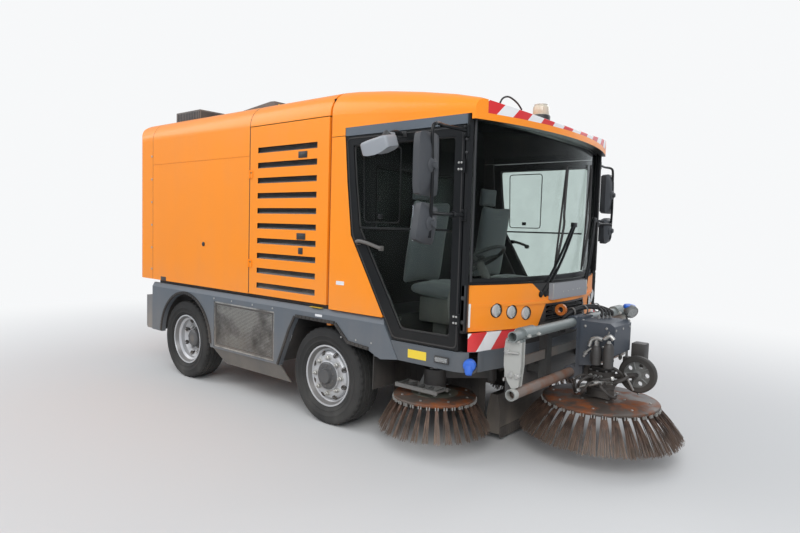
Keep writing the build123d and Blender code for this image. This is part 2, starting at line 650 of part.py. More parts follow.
def rim(front):
    if front:
        disc = [(188, 20), (188, 34), (178, 62), (165, 72), (110, 72),
                (110, 60), (160, 60), (172, 30), (176, 20)]
        hub = [(39, 2), (112, 2), (112, 84), (92, 96), (60, 100), (52, 122), (0, 122), (0, 12), (39, 12)]
        nut_z = (64, 96)
        hand_r = 172
        hand_z = 45
    else:
        disc = [(188, -8), (188, 6), (150, -36), (110, -40), (110, -54), (156, -50)]
        hub = [(0, -50), (112, -50), (112, -30), (85, -24), (80, 28), (66, 36), (0, 36)]
        nut_z = (-45, -10)
        hand_r = 166
        hand_z = -20
    body = join(spun(BARREL), spun(disc), spun(hub))
    nuts = polar(STUD_COUNT, STUD_CIRCLE_R, lambda: rod_z(0, 0, 15, *nut_z))
    body = join(body, nuts)
    for k in range(STUD_COUNT):
        turn = Rot(0, 0, 360 * (k + 0.5) / STUD_COUNT)
        body -= turn * Pos(hand_r, 0, hand_z) * Cylinder(13, 80)
    return body


def on_axle(shape, x, side):
    turn = Rot(90, 0, 0) if side < 0 else Rot(-90, 0, 0)
    return Pos(x, side * WHEEL_Y, TYRE_RADIUS) * turn * shape


# Brushes: disc with rings of flared tine bundles
def brush(disc_r, tip_r, tine_count, tine_w):
    disc_top, disc_low = 372, 335
    disc = spun([(20.6, disc_low), (disc_r - 8, disc_low), (disc_r, disc_low + 10), (disc_r, disc_low + 20),
                 (disc_r - 12, disc_low + 26), (disc_r * 0.55, disc_top), (20.6, disc_top)])
    lean = (tip_r - disc_r + 30) / (disc_low - TIP_Z)
    tines = []
    for k in range(tine_count):
        top_r = disc_r - 30
        bundle = side_prism([(top_r, disc_low + 4), (top_r + 16, disc_low + 4), (tip_r, TIP_Z + 6),
                             (tip_r - 22, TIP_Z)], -tine_w / 2, tine_w / 2)
        tines.append(Rot(0, 0, 360 * k / tine_count) * bundle)
    cone = spun([(disc_r - 70, disc_low + 2), (disc_r - 20, disc_low + 2), (disc_r - 20 + lean * 60, disc_low - 60),
                 (disc_r - 45 + lean * 60, disc_low - 60)])
    return join(disc, cone, tines)


LADDER_Y = (-930, -800)
LADDER_RUNG_X = (2610, 2690, 2770, 2850, 2935)


def side_arm():
    px, py = SIDE_PIVOT[0], -SIDE_PIVOT[1]
    bx, by = SIDE_BRUSH[0], -SIDE_BRUSH[1]
    eye = rod_z(px, py, 40, 458, 538)
    reach_plan = [(px + 26, py - 24), (px - 24, py + 26), (bx - 24, by + 26), (bx + 26, by - 24)]
    reach = plan_prism(reach_plan, 478, 530)
    motor = rod_z(bx, by, 78, 382, 540)
    shaft = rod_z(bx, by, 20, 336, 390)
    collar = rod_z(bx, by, 60, 377, 384)
    side_bars = [box(2600, 2960, y, y + 14, 404, 430) for y in LADDER_Y]
    rungs = [box(x, x + 12, LADDER_Y[0], LADDER_Y[1], 410, 424) for x in LADDER_RUNG_X]
    return join(eye, reach, motor, shaft, collar, side_bars, rungs) - rod_z(px, py, 18.4, 440, 560)


CARRIAGE_HALF = 95


def front_carriage():
    sleeves = [rod_y(BEAM_X, z, 48, -CARRIAGE_HALF, CARRIAGE_HALF) for z in (UPPER_TUBE_Z, LOWER_TUBE_Z)]
    plate = box(3556, 3592, -CARRIAGE_HALF, CARRIAGE_HALF, 480, 925)
    cover_side = [(3590, 905), (3800, 905), (3830, 885), (3830, 690), (3700, 605), (3590, 590)]
    cover = side_prism(cover_side, -115, 205)
    cover -= side_prism([(3500, 893), (3795, 893), (3818, 878), (3818, 500), (3500, 500)], -103, 193)
    guides = both(box(3590, 3606, 60, 90, 490, 742))
    body = join(sleeves, plate, cover, guides)
    for z in (UPPER_TUBE_Z, LOWER_TUBE_Z):
        body -= rod_y(BEAM_X, z, TUBE_R + 0.5, -300, 300)
    return body


SUPPORT_WHEEL = (3925, 110, 545)
SUPPORT_R = 128


def front_arm():
    bx, by = FRONT_BRUSH
    block = box(3598, 3650, -54, 54, 470, 690)
    reach = box(3640, bx + 60, -50, 50, 450, 530)
    motor = rod_z(bx, by, 92, 384, 560)
    shaft = rod_z(bx, by, 20, 336, 390)
    wheel_x, wheel_y, wheel_z = SUPPORT_WHEEL
    stay = bar((bx + 40, 40, 510), (wheel_x, 55, wheel_z), 18)
    axle = rod_y(wheel_x, wheel_z, 12, 40, wheel_y + 30)
    cap = rod_y(wheel_x, wheel_z, 26, wheel_y + 30, wheel_y + 42)
    return join(block, reach, motor, shaft, stay, axle, cap)


def support_wheel():
    profile = [(12.4, -22), (40, -22), (40, -14), (88, -14), (88, -24), (118, -24), (SUPPORT_R, -14),
               (SUPPORT_R, 14), (118, 24), (88, 24), (88, 14), (40, 14), (40, 22), (12.4, 22)]
    wheel = spun(profile)
    for k in range(5):
        wheel -= Rot(0, 0, 72 * k) * Pos(64, 0, 0) * Cylinder(17, 60)
    x, y, z = SUPPORT_WHEEL
    return Pos(x, y, z) * Rot(90, 0, 0) * wheel


# Write every node
save("chassis_frame", chassis_frame())
save("engine_block", engine_block())
save("skirts", skirts())
save("rubber_trim", rubber_trim())
save("mesh_panels", mesh_panels())
save("rear_bumper", rear_bumper())
save("hopper_shell", hopper_shell())
save("roof_boxes", roof_boxes())
save("tailgate", tailgate())
save("bay_housing", bay_housing())
save("cab_frame", cab_frame())
save("cab_glass", cab_glass())
save("cab_roof", cab_roof())
save("cab_side_panels", cab_side_panels())
save("cab_front_panel", cab_front_panel())
save("cab_interior", cab_interior())
save("mirrors", mirrors())
save("front_bumper", front_bumper())
save("front_beam", front_beam())
save("suction_nozzle", suction_nozzle())
save("front_carriage", front_carriage())
save("front_arm", front_arm())
save("support_wheel", support_wheel())
save("front_brush", Pos(*FRONT_BRUSH, 0) * brush(395, FRONT_TIP_R, 44, 26))

roof_cap = cab_roof()
light_set, beacon_lamp = lamps()
save("lamps", join(light_set, beacon_lamp - roof_cap))

right_door = join(door_frame(), kerb_mirror())
side_pieces = {
    "louvre_door": louvre_door(),
    "door_glass": door_glass(),
    "knuckle": knuckle(),
    "side_arm": side_arm(),
    "side_brush": Pos(SIDE_BRUSH[0], -SIDE_BRUSH[1], 0) * brush(290, SIDE_TIP_R, 32, 24),
}
for piece, right in side_pieces.items():
    save(f"{piece}_r", right)
    save(f"{piece}_l", other_side(right))
save("door_frame_r", right_door)
save("door_frame_l", other_side(door_frame()))

front_rim, rear_rim, tyre = rim(True), rim(False), spun(TYRE_PROFILE)
for side_name, side in (("r", -1), ("l", 1)):
    for end_name, x, rim_shape in (("f", WHEELBASE, front_rim), ("b", 0, rear_rim)):
        save(f"rim_{end_name}{side_name}", on_axle(rim_shape, x, side))
        save(f"tyre_{end_name}{side_name}", on_axle(tyre, x, side))
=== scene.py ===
import math
import random

import bmesh
import bpy
from mathutils import Matrix, Vector


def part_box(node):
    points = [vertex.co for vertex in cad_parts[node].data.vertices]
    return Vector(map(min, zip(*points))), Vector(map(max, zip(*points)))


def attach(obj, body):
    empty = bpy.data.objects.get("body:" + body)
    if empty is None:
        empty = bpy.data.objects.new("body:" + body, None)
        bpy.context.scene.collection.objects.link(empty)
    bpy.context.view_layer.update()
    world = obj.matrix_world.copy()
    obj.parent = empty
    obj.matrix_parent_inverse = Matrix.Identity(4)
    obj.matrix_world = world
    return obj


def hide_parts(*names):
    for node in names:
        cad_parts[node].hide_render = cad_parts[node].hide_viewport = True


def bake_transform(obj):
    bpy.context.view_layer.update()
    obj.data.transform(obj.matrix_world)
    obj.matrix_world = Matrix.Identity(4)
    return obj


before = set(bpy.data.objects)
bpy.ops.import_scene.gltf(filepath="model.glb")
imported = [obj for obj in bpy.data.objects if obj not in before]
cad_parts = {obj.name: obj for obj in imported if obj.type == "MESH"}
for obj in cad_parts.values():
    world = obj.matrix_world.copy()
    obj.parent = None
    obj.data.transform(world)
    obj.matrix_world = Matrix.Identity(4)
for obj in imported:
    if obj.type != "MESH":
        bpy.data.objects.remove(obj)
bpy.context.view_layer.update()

# Camera: a person's eye height, off the right front corner of the truck,
# with the field of view that its wheels, louvres and seams fit.
PHOTO_WIDTH, FOCAL_PIXELS, SENSOR_WIDTH = 800, 592.246, 36
EYE = (3.536, -4.08, 1.511)
YAW, PITCH, ROLL = 0.693, 0.065, 0.029
sight = Vector((-math.sin(YAW) * math.cos(PITCH), math.cos(YAW) * math.cos(PITCH), -math.sin(PITCH)))
right = Vector((math.cos(YAW), math.sin(YAW), 0))
up = right.cross(sight)
across = right * math.cos(ROLL) + up * math.sin(ROLL)
above = up * math.cos(ROLL) - right * math.sin(ROLL)
camera_data = bpy.data.cameras.new("camera")
camera_data.sensor_width = SENSOR_WIDTH
camera_data.lens = FOCAL_PIXELS / PHOTO_WIDTH * SENSOR_WIDTH
camera = bpy.data.objects.new("camera", camera_data)
camera.matrix_world = Matrix((across, above, -sight)).transposed().to_4x4()
camera.location = EYE
bpy.context.scene.collection.objects.link(camera)
bpy.context.scene.camera = camera
bpy.context.scene.view_settings.view_transform = "Standard"


# Studio: a pale floor that fades into a pale backdrop, under a wide overcast sky
# and three large soft lamps, as on the bright cloudy day of the photograph.
BACKDROP = (0.93, 0.94, 0.95, 1)
FLOOR_HALF, FADE_START, FADE_END = 40, 2.8, 8.0


def wire(tree, source, target):
    tree.links.new(source, target)


def math_node(tree, operation, a, b=None, c=None, clamp=False):
    node = tree.nodes.new("ShaderNodeMath")
    node.operation = operation
    node.use_clamp = clamp
    for socket, value in zip(node.inputs, (a, b, c)):
        if value is None:
            continue
        if isinstance(value, (int, float)):
            socket.default_value = value
        else:
            wire(tree, value, socket)
    return node.outputs[0]


def object_place(tree):
    return tree.nodes.new("ShaderNodeTexCoord").outputs["Object"]


def show_backdrop_white(tree, lit, glow_kind, share=None):
    path = tree.nodes.new("ShaderNodeLightPath")
    seen = math_node(tree, "MAXIMUM", path.outputs["Is Camera Ray"], path.outputs["Is Transmission Ray"])
    if share is not None:
        seen = math_node(tree, "MULTIPLY", seen, share)
    glow = tree.nodes.new(glow_kind)
    glow.inputs["Color"].default_value = BACKDROP
    glow.inputs["Strength"].default_value = 1.0
    mix = tree.nodes.new("ShaderNodeMixShader")
    wire(tree, seen, mix.inputs["Fac"])
    wire(tree, lit.outputs[0], mix.inputs[1])
    wire(tree, glow.outputs[0], mix.inputs[2])
    return mix.outputs[0]


world = bpy.data.worlds.new("overcast")
bpy.context.scene.world = world
world.use_nodes = True
tree = world.node_tree
sky = tree.nodes["Background"]
sky.inputs["Color"].default_value = (0.86, 0.91, 1.0, 1)
sky.inputs["Strength"].default_value = 0.62
white_sky = show_backdrop_white(tree, sky, "ShaderNodeBackground")
wire(tree, white_sky, tree.nodes["World Output"].inputs["Surface"])

floor_mesh = bpy.data.meshes.new("floor")
corners = [(x * FLOOR_HALF, y * FLOOR_HALF, 0) for x, y in ((-1, -1), (1, -1), (1, 1), (-1, 1))]
floor_mesh.from_pydata(corners, [], [(0, 1, 2, 3)])
floor = bpy.data.objects.new("floor", floor_mesh)
bpy.context.scene.collection.objects.link(floor)
pale = bpy.data.materials.new("pale_floor")
pale.use_nodes = True
tree = pale.node_tree
concrete = tree.nodes["Principled BSDF"]
concrete.inputs["Base Color"].default_value = (0.62, 0.62, 0.61, 1)
concrete.inputs["Roughness"].default_value = 0.9
from_middle = tree.nodes.new("ShaderNodeVectorMath")
from_middle.operation = "LENGTH"
wire(tree, object_place(tree), from_middle.inputs[0])
fade = tree.nodes.new("ShaderNodeMapRange")
fade.interpolation_type = "SMOOTHSTEP"
fade.inputs["From Min"].default_value = FADE_START
fade.inputs["From Max"].default_value = FADE_END
wire(tree, from_middle.outputs["Value"], fade.inputs["Value"])
white_floor = show_backdrop_white(tree, concrete, "ShaderNodeEmission", fade.outputs["Result"])
wire(tree, white_floor, tree.nodes["Material Output"].inputs["Surface"])
floor_mesh.materials.append(pale)

for name, place, size, power in (("sky_lamp_front", (5.5, -7, 7), 7, 620),
                                 ("sky_lamp_left", (2, 7, 6), 6, 260),
                                 ("sky_lamp_rear", (-7, -5, 7), 6, 330)):
    lamp = bpy.data.lights.new(name, "AREA")
    lamp.energy = power
    lamp.size = size
    lamp_object = bpy.data.objects.new(name, lamp)
    lamp_object.location = place
    lamp_object.rotation_euler = (Vector((0, 0, 1)) - Vector(place)).to_track_quat("-Z", "Y").to_euler()
    bpy.context.scene.collection.objects.link(lamp_object)


# Painted sheet panels: orange two-pack paint on the hopper, tailgate, engine bay and cab.
# Road dust gathers low down and in faint runs, and the paint varies a little by panel.
def node_group(name, inputs, outputs):
    group = bpy.data.node_groups.new(name, "ShaderNodeTree")
    for label, kind, value in inputs:
        socket = group.interface.new_socket(label, in_out="INPUT", socket_type=kind)
        socket.default_value = value
    for label, kind in outputs:
        group.interface.new_socket(label, in_out="OUTPUT", socket_type=kind)
    start = group.nodes.new("NodeGroupInput")
    end = group.nodes.new("NodeGroupOutput")
    return group, start, end


def mix_color(tree, factor, a, b):
    node = tree.nodes.new("ShaderNodeMix")
    node.data_type = "RGBA"
    for socket, value in ((node.inputs["Factor"], factor), (node.inputs["A"], a), (node.inputs["B"], b)):
        if isinstance(value, (int, float)):
            socket.default_value = value
        elif isinstance(value, tuple):
            socket.default_value = (*value, 1)
        else:
            wire(tree, value, socket)
    return node.outputs["Result"]


def noise_node(tree, scale, detail=4.0, rough=0.55, stretch=None):
    vector = object_place(tree)
    if stretch:
        mapping = tree.nodes.new("ShaderNodeMapping")
        mapping.inputs["Scale"].default_value = stretch
        wire(tree, vector, mapping.inputs["Vector"])
        vector = mapping.outputs[0]
    node = tree.nodes.new("ShaderNodeTexNoise")
    node.inputs["Scale"].default_value = scale
    node.inputs["Detail"].default_value = detail
    node.inputs["Roughness"].default_value = rough
    wire(tree, vector, node.inputs["Vector"])
    return node.outputs["Fac"]


def remap(tree, value, low, high, to_low=0.0, to_high=1.0):
    node = tree.nodes.new("ShaderNodeMapRange")
    for socket, number in zip(("From Min", "From Max", "To Min", "To Max"), (low, high, to_low, to_high)):
        node.inputs[socket].default_value = number
    wire(tree, value, node.inputs["Value"])
    return node.outputs["Result"]


def place_parts(tree):
    parts = tree.nodes.new("ShaderNodeSeparateXYZ")
    wire(tree, object_place(tree), parts.inputs[0])
    return parts.outputs["X"], parts.outputs["Y"], parts.outputs["Z"]


dust, dust_in, dust_out = node_group(
    "road_dust",
    [("Color", "NodeSocketColor", (0.5, 0.5, 0.5, 1)),
     ("Dust Color", "NodeSocketColor", (0.34, 0.29, 0.24, 1)),
     ("Amount", "NodeSocketFloat", 0.25), ("Clean Height", "NodeSocketFloat", 0.9)],
    [("Color", "NodeSocketColor"), ("Dust", "NodeSocketFloat")])
height_share = math_node(dust, "DIVIDE", place_parts(dust)[2], dust_in.outputs["Clean Height"])
low_down = math_node(dust, "SUBTRACT", 1.0, height_share, clamp=True)
patches = remap(dust, noise_node(dust, 3.0, 6.0), 0.35, 0.72)
runs = remap(dust, noise_node(dust, 6.0, 3.0, stretch=(1, 1, 0.12)), 0.42, 0.8)
cover = math_node(dust, "ADD", math_node(dust, "MULTIPLY", patches, 0.55),
                  math_node(dust, "MULTIPLY", runs, 0.45))
low_cover = math_node(dust, "MULTIPLY_ADD", low_down, 1.6, math_node(dust, "MULTIPLY", cover, 0.35))
grime = math_node(dust, "MULTIPLY", math_node(dust, "MULTIPLY", low_cover,
                                              math_node(dust, "ADD", cover, 0.35)),
                  dust_in.outputs["Amount"], clamp=True)
wire(dust, mix_color(dust, grime, dust_in.outputs["Color"], dust_in.outputs["Dust Color"]),
     dust_out.inputs["Color"])
wire(dust, grime, dust_out.inputs["Dust"])


def new_material(name, metallic=0.0, coat=0.0):
    material = bpy.data.materials.new(name)
    material.use_nodes = True
    tree = material.node_tree
    shader = tree.nodes["Principled BSDF"]
    shader.inputs["Metallic"].default_value = metallic
    shader.inputs["Coat Weight"].default_value = coat
    shader.inputs["Coat Roughness"].default_value = 0.08
    return material, tree, shader


def add_dust(tree, color, amount, clean_height, dust_color=(0.34, 0.29, 0.24)):
    node = tree.nodes.new("ShaderNodeGroup")
    node.node_tree = dust
    node.inputs["Amount"].default_value = amount
    node.inputs["Clean Height"].default_value = clean_height
    node.inputs["Dust Color"].default_value = (*dust_color, 1)
    if isinstance(color, tuple):
        node.inputs["Color"].default_value = (*color, 1)
    else:
        wire(tree, color, node.inputs["Color"])
    return node.outputs["Color"], node.outputs["Dust"]


def add_bump(tree, shader, height, strength, distance):
    node = tree.nodes.new("ShaderNodeBump")
    node.inputs["Strength"].default_value = strength
    node.inputs["Distance"].default_value = distance
    wire(tree, height, node.inputs["Height"])
    wire(tree, node.outputs[0], shader.inputs["Normal"])


def painted(name, color, rough, amount, clean_height, coat=0.0, metallic=0.0, bump=0.02,
            grain=60.0, vary=0.06,
            marks=None, dust_color=(0.34, 0.29, 0.24), gloss=0.5):
    material, tree, shader = new_material(name, metallic, coat)
    shader.inputs["Specular IOR Level"].default_value = gloss
    darker = tuple(part * (1 - vary) for part in color)
    lighter = tuple(min(1.0, part * (1 + vary)) for part in color)
    shade = mix_color(tree, noise_node(tree, 1.3, 2.0), darker, lighter)
    if marks:
        for mask_color, mask in marks(tree):
            shade = mix_color(tree, mask, shade, mask_color)
    surface, grime = add_dust(tree, shade, amount, clean_height, dust_color)
    wire(tree, surface, shader.inputs["Base Color"])
    wire(tree, math_node(tree, "MULTIPLY_ADD", grime, 0.5, rough, clamp=True), shader.inputs["Roughness"])
    add_bump(tree, shader, noise_node(tree, grain, 3.0), bump, 0.002)
    return material


def dress(material, *nodes):
    for name in nodes:
        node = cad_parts[name]
        node.data.materials.clear()
        node.data.materials.append(material)


def over(tree, value, limit):
    return math_node(tree, "GREATER_THAN", value, limit)


def under(tree, value, limit):
    return math_node(tree, "LESS_THAN", value, limit)


def all_of(tree, mask, *others):
    for other in others:
        mask = math_node(tree, "MULTIPLY", mask, other)
    return mask


inside_box, box_in, box_out = node_group(
    "inside_box", [("Low", "NodeSocketVector", (0, 0, 0)), ("High", "NodeSocketVector", (1, 1, 1))],
    [("Mask", "NodeSocketFloat")])
here = object_place(inside_box)
shares = []
for upper, lower in ((here, box_in.outputs["Low"]), (box_in.outputs["High"], here)):
    gap = inside_box.nodes.new("ShaderNodeVectorMath")
    gap.operation = "SUBTRACT"
    wire(inside_box, upper, gap.inputs[0])
    wire(inside_box, lower, gap.inputs[1])
    parts = inside_box.nodes.new("ShaderNodeSeparateXYZ")
    wire(inside_box, gap.outputs[0], parts.inputs[0])
    shares += [over(inside_box, parts.outputs[axis], 0.0) for axis in "XYZ"]
wire(inside_box, all_of(inside_box, *shares), box_out.inputs["Mask"])


def box_mask(tree, corner, other):
    node = tree.nodes.new("ShaderNodeGroup")
    node.node_tree = inside_box
    node.inputs["Low"].default_value = [min(pair) for pair in zip(corner, other)]
    node.inputs["High"].default_value = [max(pair) for pair in zip(corner, other)]
    return node.outputs["Mask"]


facing_in, facing_start, facing_end = node_group(
    "faces_turned_inwards", [("Centre", "NodeSocketVector", (0, 0, 1.7))], [("Mask", "NodeSocketFloat")])
spot = facing_in.nodes.new("ShaderNodeTexCoord")
from_centre = facing_in.nodes.new("ShaderNodeVectorMath")
from_centre.operation = "SUBTRACT"
wire(facing_in, spot.outputs["Object"], from_centre.inputs[0])
wire(facing_in, facing_start.outputs["Centre"], from_centre.inputs[1])
turned = facing_in.nodes.new("ShaderNodeVectorMath")
turned.operation = "DOT_PRODUCT"
wire(facing_in, spot.outputs["Normal"], turned.inputs[0])
wire(facing_in, from_centre.outputs[0], turned.inputs[1])
wire(facing_in, under(facing_in, turned.outputs["Value"], 0.0), facing_end.inputs["Mask"])


def inward_mask(tree, centre):
    node = tree.nodes.new("ShaderNodeGroup")
    node.node_tree = facing_in
    node.inputs["Centre"].default_value = centre
    return node.outputs["Mask"]


ORANGE = (0.96, 0.285, 0.012)
CAB_CENTRE = (0.95, 0.0, 1.7)
# Near black: painted shade on faces turned into the cab and engine bay, in the grille mouth and round the tow
# eye's shank, and the colour of the wiper recess.
SHADE_AND_LINING_BLACK = (0.018, 0.019, 0.02)
HOPPER_DIRT = (0.13, 0.105, 0.085)


def orange(name, marks=None):
    return painted(name, ORANGE, 0.36, 0.2, 1.2, coat=0.12, vary=0.03, marks=marks, gloss=0.28)


# Painted shade: faces turned into the engine bay, and its front wall in the narrow gap to the cab, are
# painted near black.
def bay_shade_marks(tree):
    front_wall = box_mask(tree, (0.3, -1.0, 0.93), (0.3125, 1.0, 2.45))
    return [(SHADE_AND_LINING_BLACK, inward_mask(tree, (-0.15, 0.0, 1.7))), (SHADE_AND_LINING_BLACK, front_wall)]


dress(orange("orange_paint", lambda tree: [(HOPPER_DIRT, inward_mask(tree, (-1.6, 0.0, 1.7)))]),
      "hopper_shell", "tailgate")
dress(orange("engine_bay_paint", bay_shade_marks), "bay_housing")
# Painted shade: faces of the side panels turned into the cab are painted near black.
dress(orange("cab_side_paint", lambda tree: [(SHADE_AND_LINING_BLACK, inward_mask(tree, CAB_CENTRE))]),
      "cab_side_panels")


# Mesh makers for the fittings: rounded blocks, rods, turned profiles and bent tubes
# are gathered into one mesh per piece, which then rides on its body.
def add_block(bm, corner, other, round_by=0.0, steps=2, turn=None):
    low = Vector([min(pair) for pair in zip(corner, other)])
    high = Vector([max(pair) for pair in zip(corner, other)])
    verts = bmesh.ops.create_cube(bm, size=1.0)["verts"]
    size = high - low
    for vert in verts:
        vert.co = Vector((vert.co.x * size.x, vert.co.y * size.y, vert.co.z * size.z))
    if round_by > 0:
        edges = list(dict.fromkeys(edge for vert in verts for edge in vert.link_edges))
        cut = bmesh.ops.bevel(bm, geom=edges, offset=round_by, segments=steps, affect="EDGES", profile=0.5)
        left = [vert for vert in verts if vert.is_valid]
        left += [vert for face in cut["faces"] for vert in face.verts]
        verts = list(dict.fromkeys(left))
    move = Matrix.Translation((low + high) / 2)
    if turn:
        move = move @ turn
    bmesh.ops.transform(bm, matrix=move, verts=verts)


def add_centred(bm, centre, half, round_by=0.0, steps=2, turn=None):
    centre, half = Vector(centre), Vector(half)
    add_block(bm, centre - half, centre + half, round_by, steps, turn)


def rod_matrix(start, end):
    start, end = Vector(start), Vector(end)
    spin = (end - start).to_track_quat("Z", "Y").to_matrix().to_4x4()
    return Matrix.Translation((start + end) / 2) @ spin


def add_rod(bm, start, end, radius, radius_end=None, sides=20):
    length = (Vector(end) - Vector(start)).length
    top = radius if radius_end is None else radius_end
    bmesh.ops.create_cone(bm, cap_ends=True, segments=sides, radius1=radius, radius2=top, depth=length,
                          matrix=rod_matrix(start, end))


def turns(count, shift=0.0):
    return [2 * math.pi * (k + shift) / count for k in range(count)]


def skin_rings(bm, rings, capped=True):
    for now, after in zip(rings[:-1], rings[1:]):
        for k in range(len(now)):
            n = (k + 1) % len(now)
            bm.faces.new((now[k], now[n], after[n], after[k]))
    if capped:
        bm.faces.new(rings[0][::-1])
        bm.faces.new(rings[-1])


def add_turned(bm, origin, direction, profile, sides=32, closed=False):
    spin = Vector(direction).to_track_quat("Z", "Y").to_matrix().to_4x4()
    move = Matrix.Translation(Vector(origin)) @ spin
    rows = []
    for angle in turns(sides):
        rows.append([bm.verts.new(move @ Vector((r * math.cos(angle), r * math.sin(angle), h))) for r,
                     h in profile])
    count = len(profile)
    for step in range(sides):
        now, after = rows[step], rows[(step + 1) % sides]
        for k in range(count if closed else count - 1):
            n = (k + 1) % count
            bm.faces.new((now[k], after[k], after[n], now[n]))
    if not closed:
        for k, flip in ((0, True), (count - 1, False)):
            if profile[k][0] > 1e-6:
                ring = [row[k] for row in rows]
                bm.faces.new(ring[::-1] if flip else ring)


def smooth_path(points, steps=6):
    points = [Vector(p) for p in points]
    if len(points) < 3:
        return points
    path = []
    for k in range(len(points) - 1):
        p0 = points[max(k - 1, 0)]
        p1, p2 = points[k], points[k + 1]
        p3 = points[min(k + 2, len(points) - 1)]
        for step in range(steps):
            t = step / steps
            path.append(0.5 * ((2 * p1) + (p2 - p0) * t + (2 * p0 - 5 * p1 + 4 * p2 - p3) * t * t
                               + (3 * p1 - p0 - 3 * p2 + p3) * t ** 3))
    path.append(points[-1])
    return path


def add_tube(bm, points, radius, sides=10, steps=6, smooth=True):
    path = smooth_path(points, steps) if smooth else [Vector(p) for p in points]
    rings = []
    side_way = None
    for k, point in enumerate(path):
        ahead = (path[min(k + 1, len(path) - 1)] - path[max(k - 1, 0)]).normalized()
        if side_way is None:
            side_way = ahead.orthogonal().normalized()
        side_way = (side_way - ahead * side_way.dot(ahead)).normalized()
        other = ahead.cross(side_way)
        rings.append([bm.verts.new(point + radius * (math.cos(a) * side_way + math.sin(a) * other))
                      for a in turns(sides)])
    skin_rings(bm, rings)


def add_slab(bm, corners, way, thick):
    shift = Vector(way).normalized() * thick
    front = [bm.verts.new(Vector(c) + shift) for c in corners]
    back = [bm.verts.new(Vector(c)) for c in corners]
    bm.faces.new(front)
    bm.faces.new(back[::-1])
    count = len(corners)
    for k in range(count):
        n = (k + 1) % count
        bm.faces.new((back[k], back[n], front[n], front[k]))


def settle(bm, name, body, material, soften=0.0, smooth_angle=35):
    bmesh.ops.recalc_face_normals(bm, faces=bm.faces)
    mesh = bpy.data.meshes.new(name)
    bm.to_mesh(mesh)
    bm.free()
    piece = bpy.data.objects.new(name, mesh)
    bpy.context.scene.collection.objects.link(piece)
    for item in material if isinstance(material, (list, tuple)) else [material]:
        mesh.materials.append(item)
    mesh.shade_smooth()
    mesh.set_sharp_from_angle(angle=math.radians(smooth_angle))
    if soften:
        bevel = piece.modifiers.new("soft_edges", "BEVEL")
        bevel.width = soften
        bevel.segments = 2
        bevel.limit_method = "ANGLE"
        bevel.harden_normals = True
    if body:
        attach(piece, body)
    return piece


black_plastic = painted("black_plastic", (0.022, 0.023, 0.025), 0.48, 0.16, 1.2, bump=0.12,
                        grain=240.0, vary=0.15)
satin_black = painted("satin_black_paint", (0.008, 0.009, 0.01), 0.3, 0.05, 1.1, bump=0.03, gloss=0.22)
rubber_black = painted("black_rubber", (0.016, 0.016, 0.017), 0.62, 0.2, 1.0, bump=0.08, grain=120.0)
zinc = painted("zinc_plated_steel", (0.52, 0.52, 0.5), 0.36, 0.2, 1.2, metallic=0.85, bump=0.05, vary=0.2)

# Hopper fittings: a moulded black rotary latch and a trimmed drain slot low on each side,
# and the plated screws that hold the side edges of the tailgate's frame.
SIDES = ((-1, "r"), (1, "l"))
SIDE_Y = 1.04
TAIL_SCREWS = (1.02, 1.24, 1.47, 1.7, 1.93, 2.16)
for side, tag in SIDES:
    bm = bmesh.new()
    latch_y = side * SIDE_Y
    add_turned(bm, (-1.351, latch_y, 1.311), (0, side, 0),
               [(0.021, -0.004), (0.021, 0.004), (0.017, 0.007), (0.006, 0.008), (0.0, 0.008)], 24)
    add_centred(bm, (-1.351, latch_y, 1.311), (0.011, 0.010, 0.006), 0.002)
    add_centred(bm, (-2.07, latch_y, 0.9365), (0.05, 0.0015, 0.0185), 0.001)
    settle(bm, f"hopper_latch_{tag}", "hopper", black_plastic)
    bm = bmesh.new()
    for height in TAIL_SCREWS:
        add_turned(bm, (-2.30, latch_y, height), (0, side, 0),
                   [(0.011, -0.002), (0.011, 0.0025), (0.008, 0.0045), (0.0, 0.005)], 16)
    settle(bm, f"tailgate_screws_{tag}", "tailgate_body", zinc)

# Edge seal: extruded black rubber on the rear rim of the engine bay.
# The front of the hopper closes against it when the hopper is down.
bm = bmesh.new()
arch = [(-1.043, 0.93), (-1.043, 2.32)]
arch += [(-0.85 - 0.193 * math.cos(a), 2.32 + 0.193 * math.sin(a)) for a in (0.3, 0.6, 0.9, 1.2, 1.57)]
arch += [(-y, z) for y, z in arch[::-1]]
add_tube(bm, [(-0.659, y * 0.996, z - 0.003) for y, z in arch], 0.0035, 8, smooth=False)
settle(bm, "bay_seal", "truck", rubber_black)

# Roof boxes: an air vent box and a low sloped cowl, moulded in plastic that has weathered to grey.
# Thin ribs stand in the front and side openings of the vent.
roof_grey = painted("weathered_grey_plastic", (0.075, 0.08, 0.085), 0.6, 0.5, 4.0, bump=0.1, grain=150.0)
dress(roof_grey, "roof_boxes")
bm = bmesh.new()
for k in range(9):
    z = 2.525 + 0.01 * k
    add_block(bm, (-1.816, -0.79, z), (-1.812, -0.49, z + 0.004), 0.001, 1)
for k in range(14):
    x = -2.225 + 0.03 * k
    add_block(bm, (x, -0.803, 2.53), (x + 0.012, -0.799, 2.61), 0.001, 1)
settle(bm, "roof_vent_ribs", "hopper", black_plastic)
bm = bmesh.new()
add_block(bm, (-0.7745, -0.66, 2.545), (-0.7715, -0.57, 2.585), 0.001, 1)
yellow = painted("yellow_label_blank", (0.86, 0.62, 0.03), 0.4, 0.2, 1.0)
settle(bm, "cowl_yellow_mark", "hopper", yellow)

# Louvred engine doors: orange steel sheet with ten pressed slots and black wire mesh fixed behind them.
# Each door hangs on hinges at one edge and shuts with two rotary latches and a lock at the other.
SLOT_TOP, SLOT_PITCH, SLOT_COUNT = 2.138, 0.124, 10
SLOT_LOW_X, SLOT_HIGH_X = -0.548, 0.174


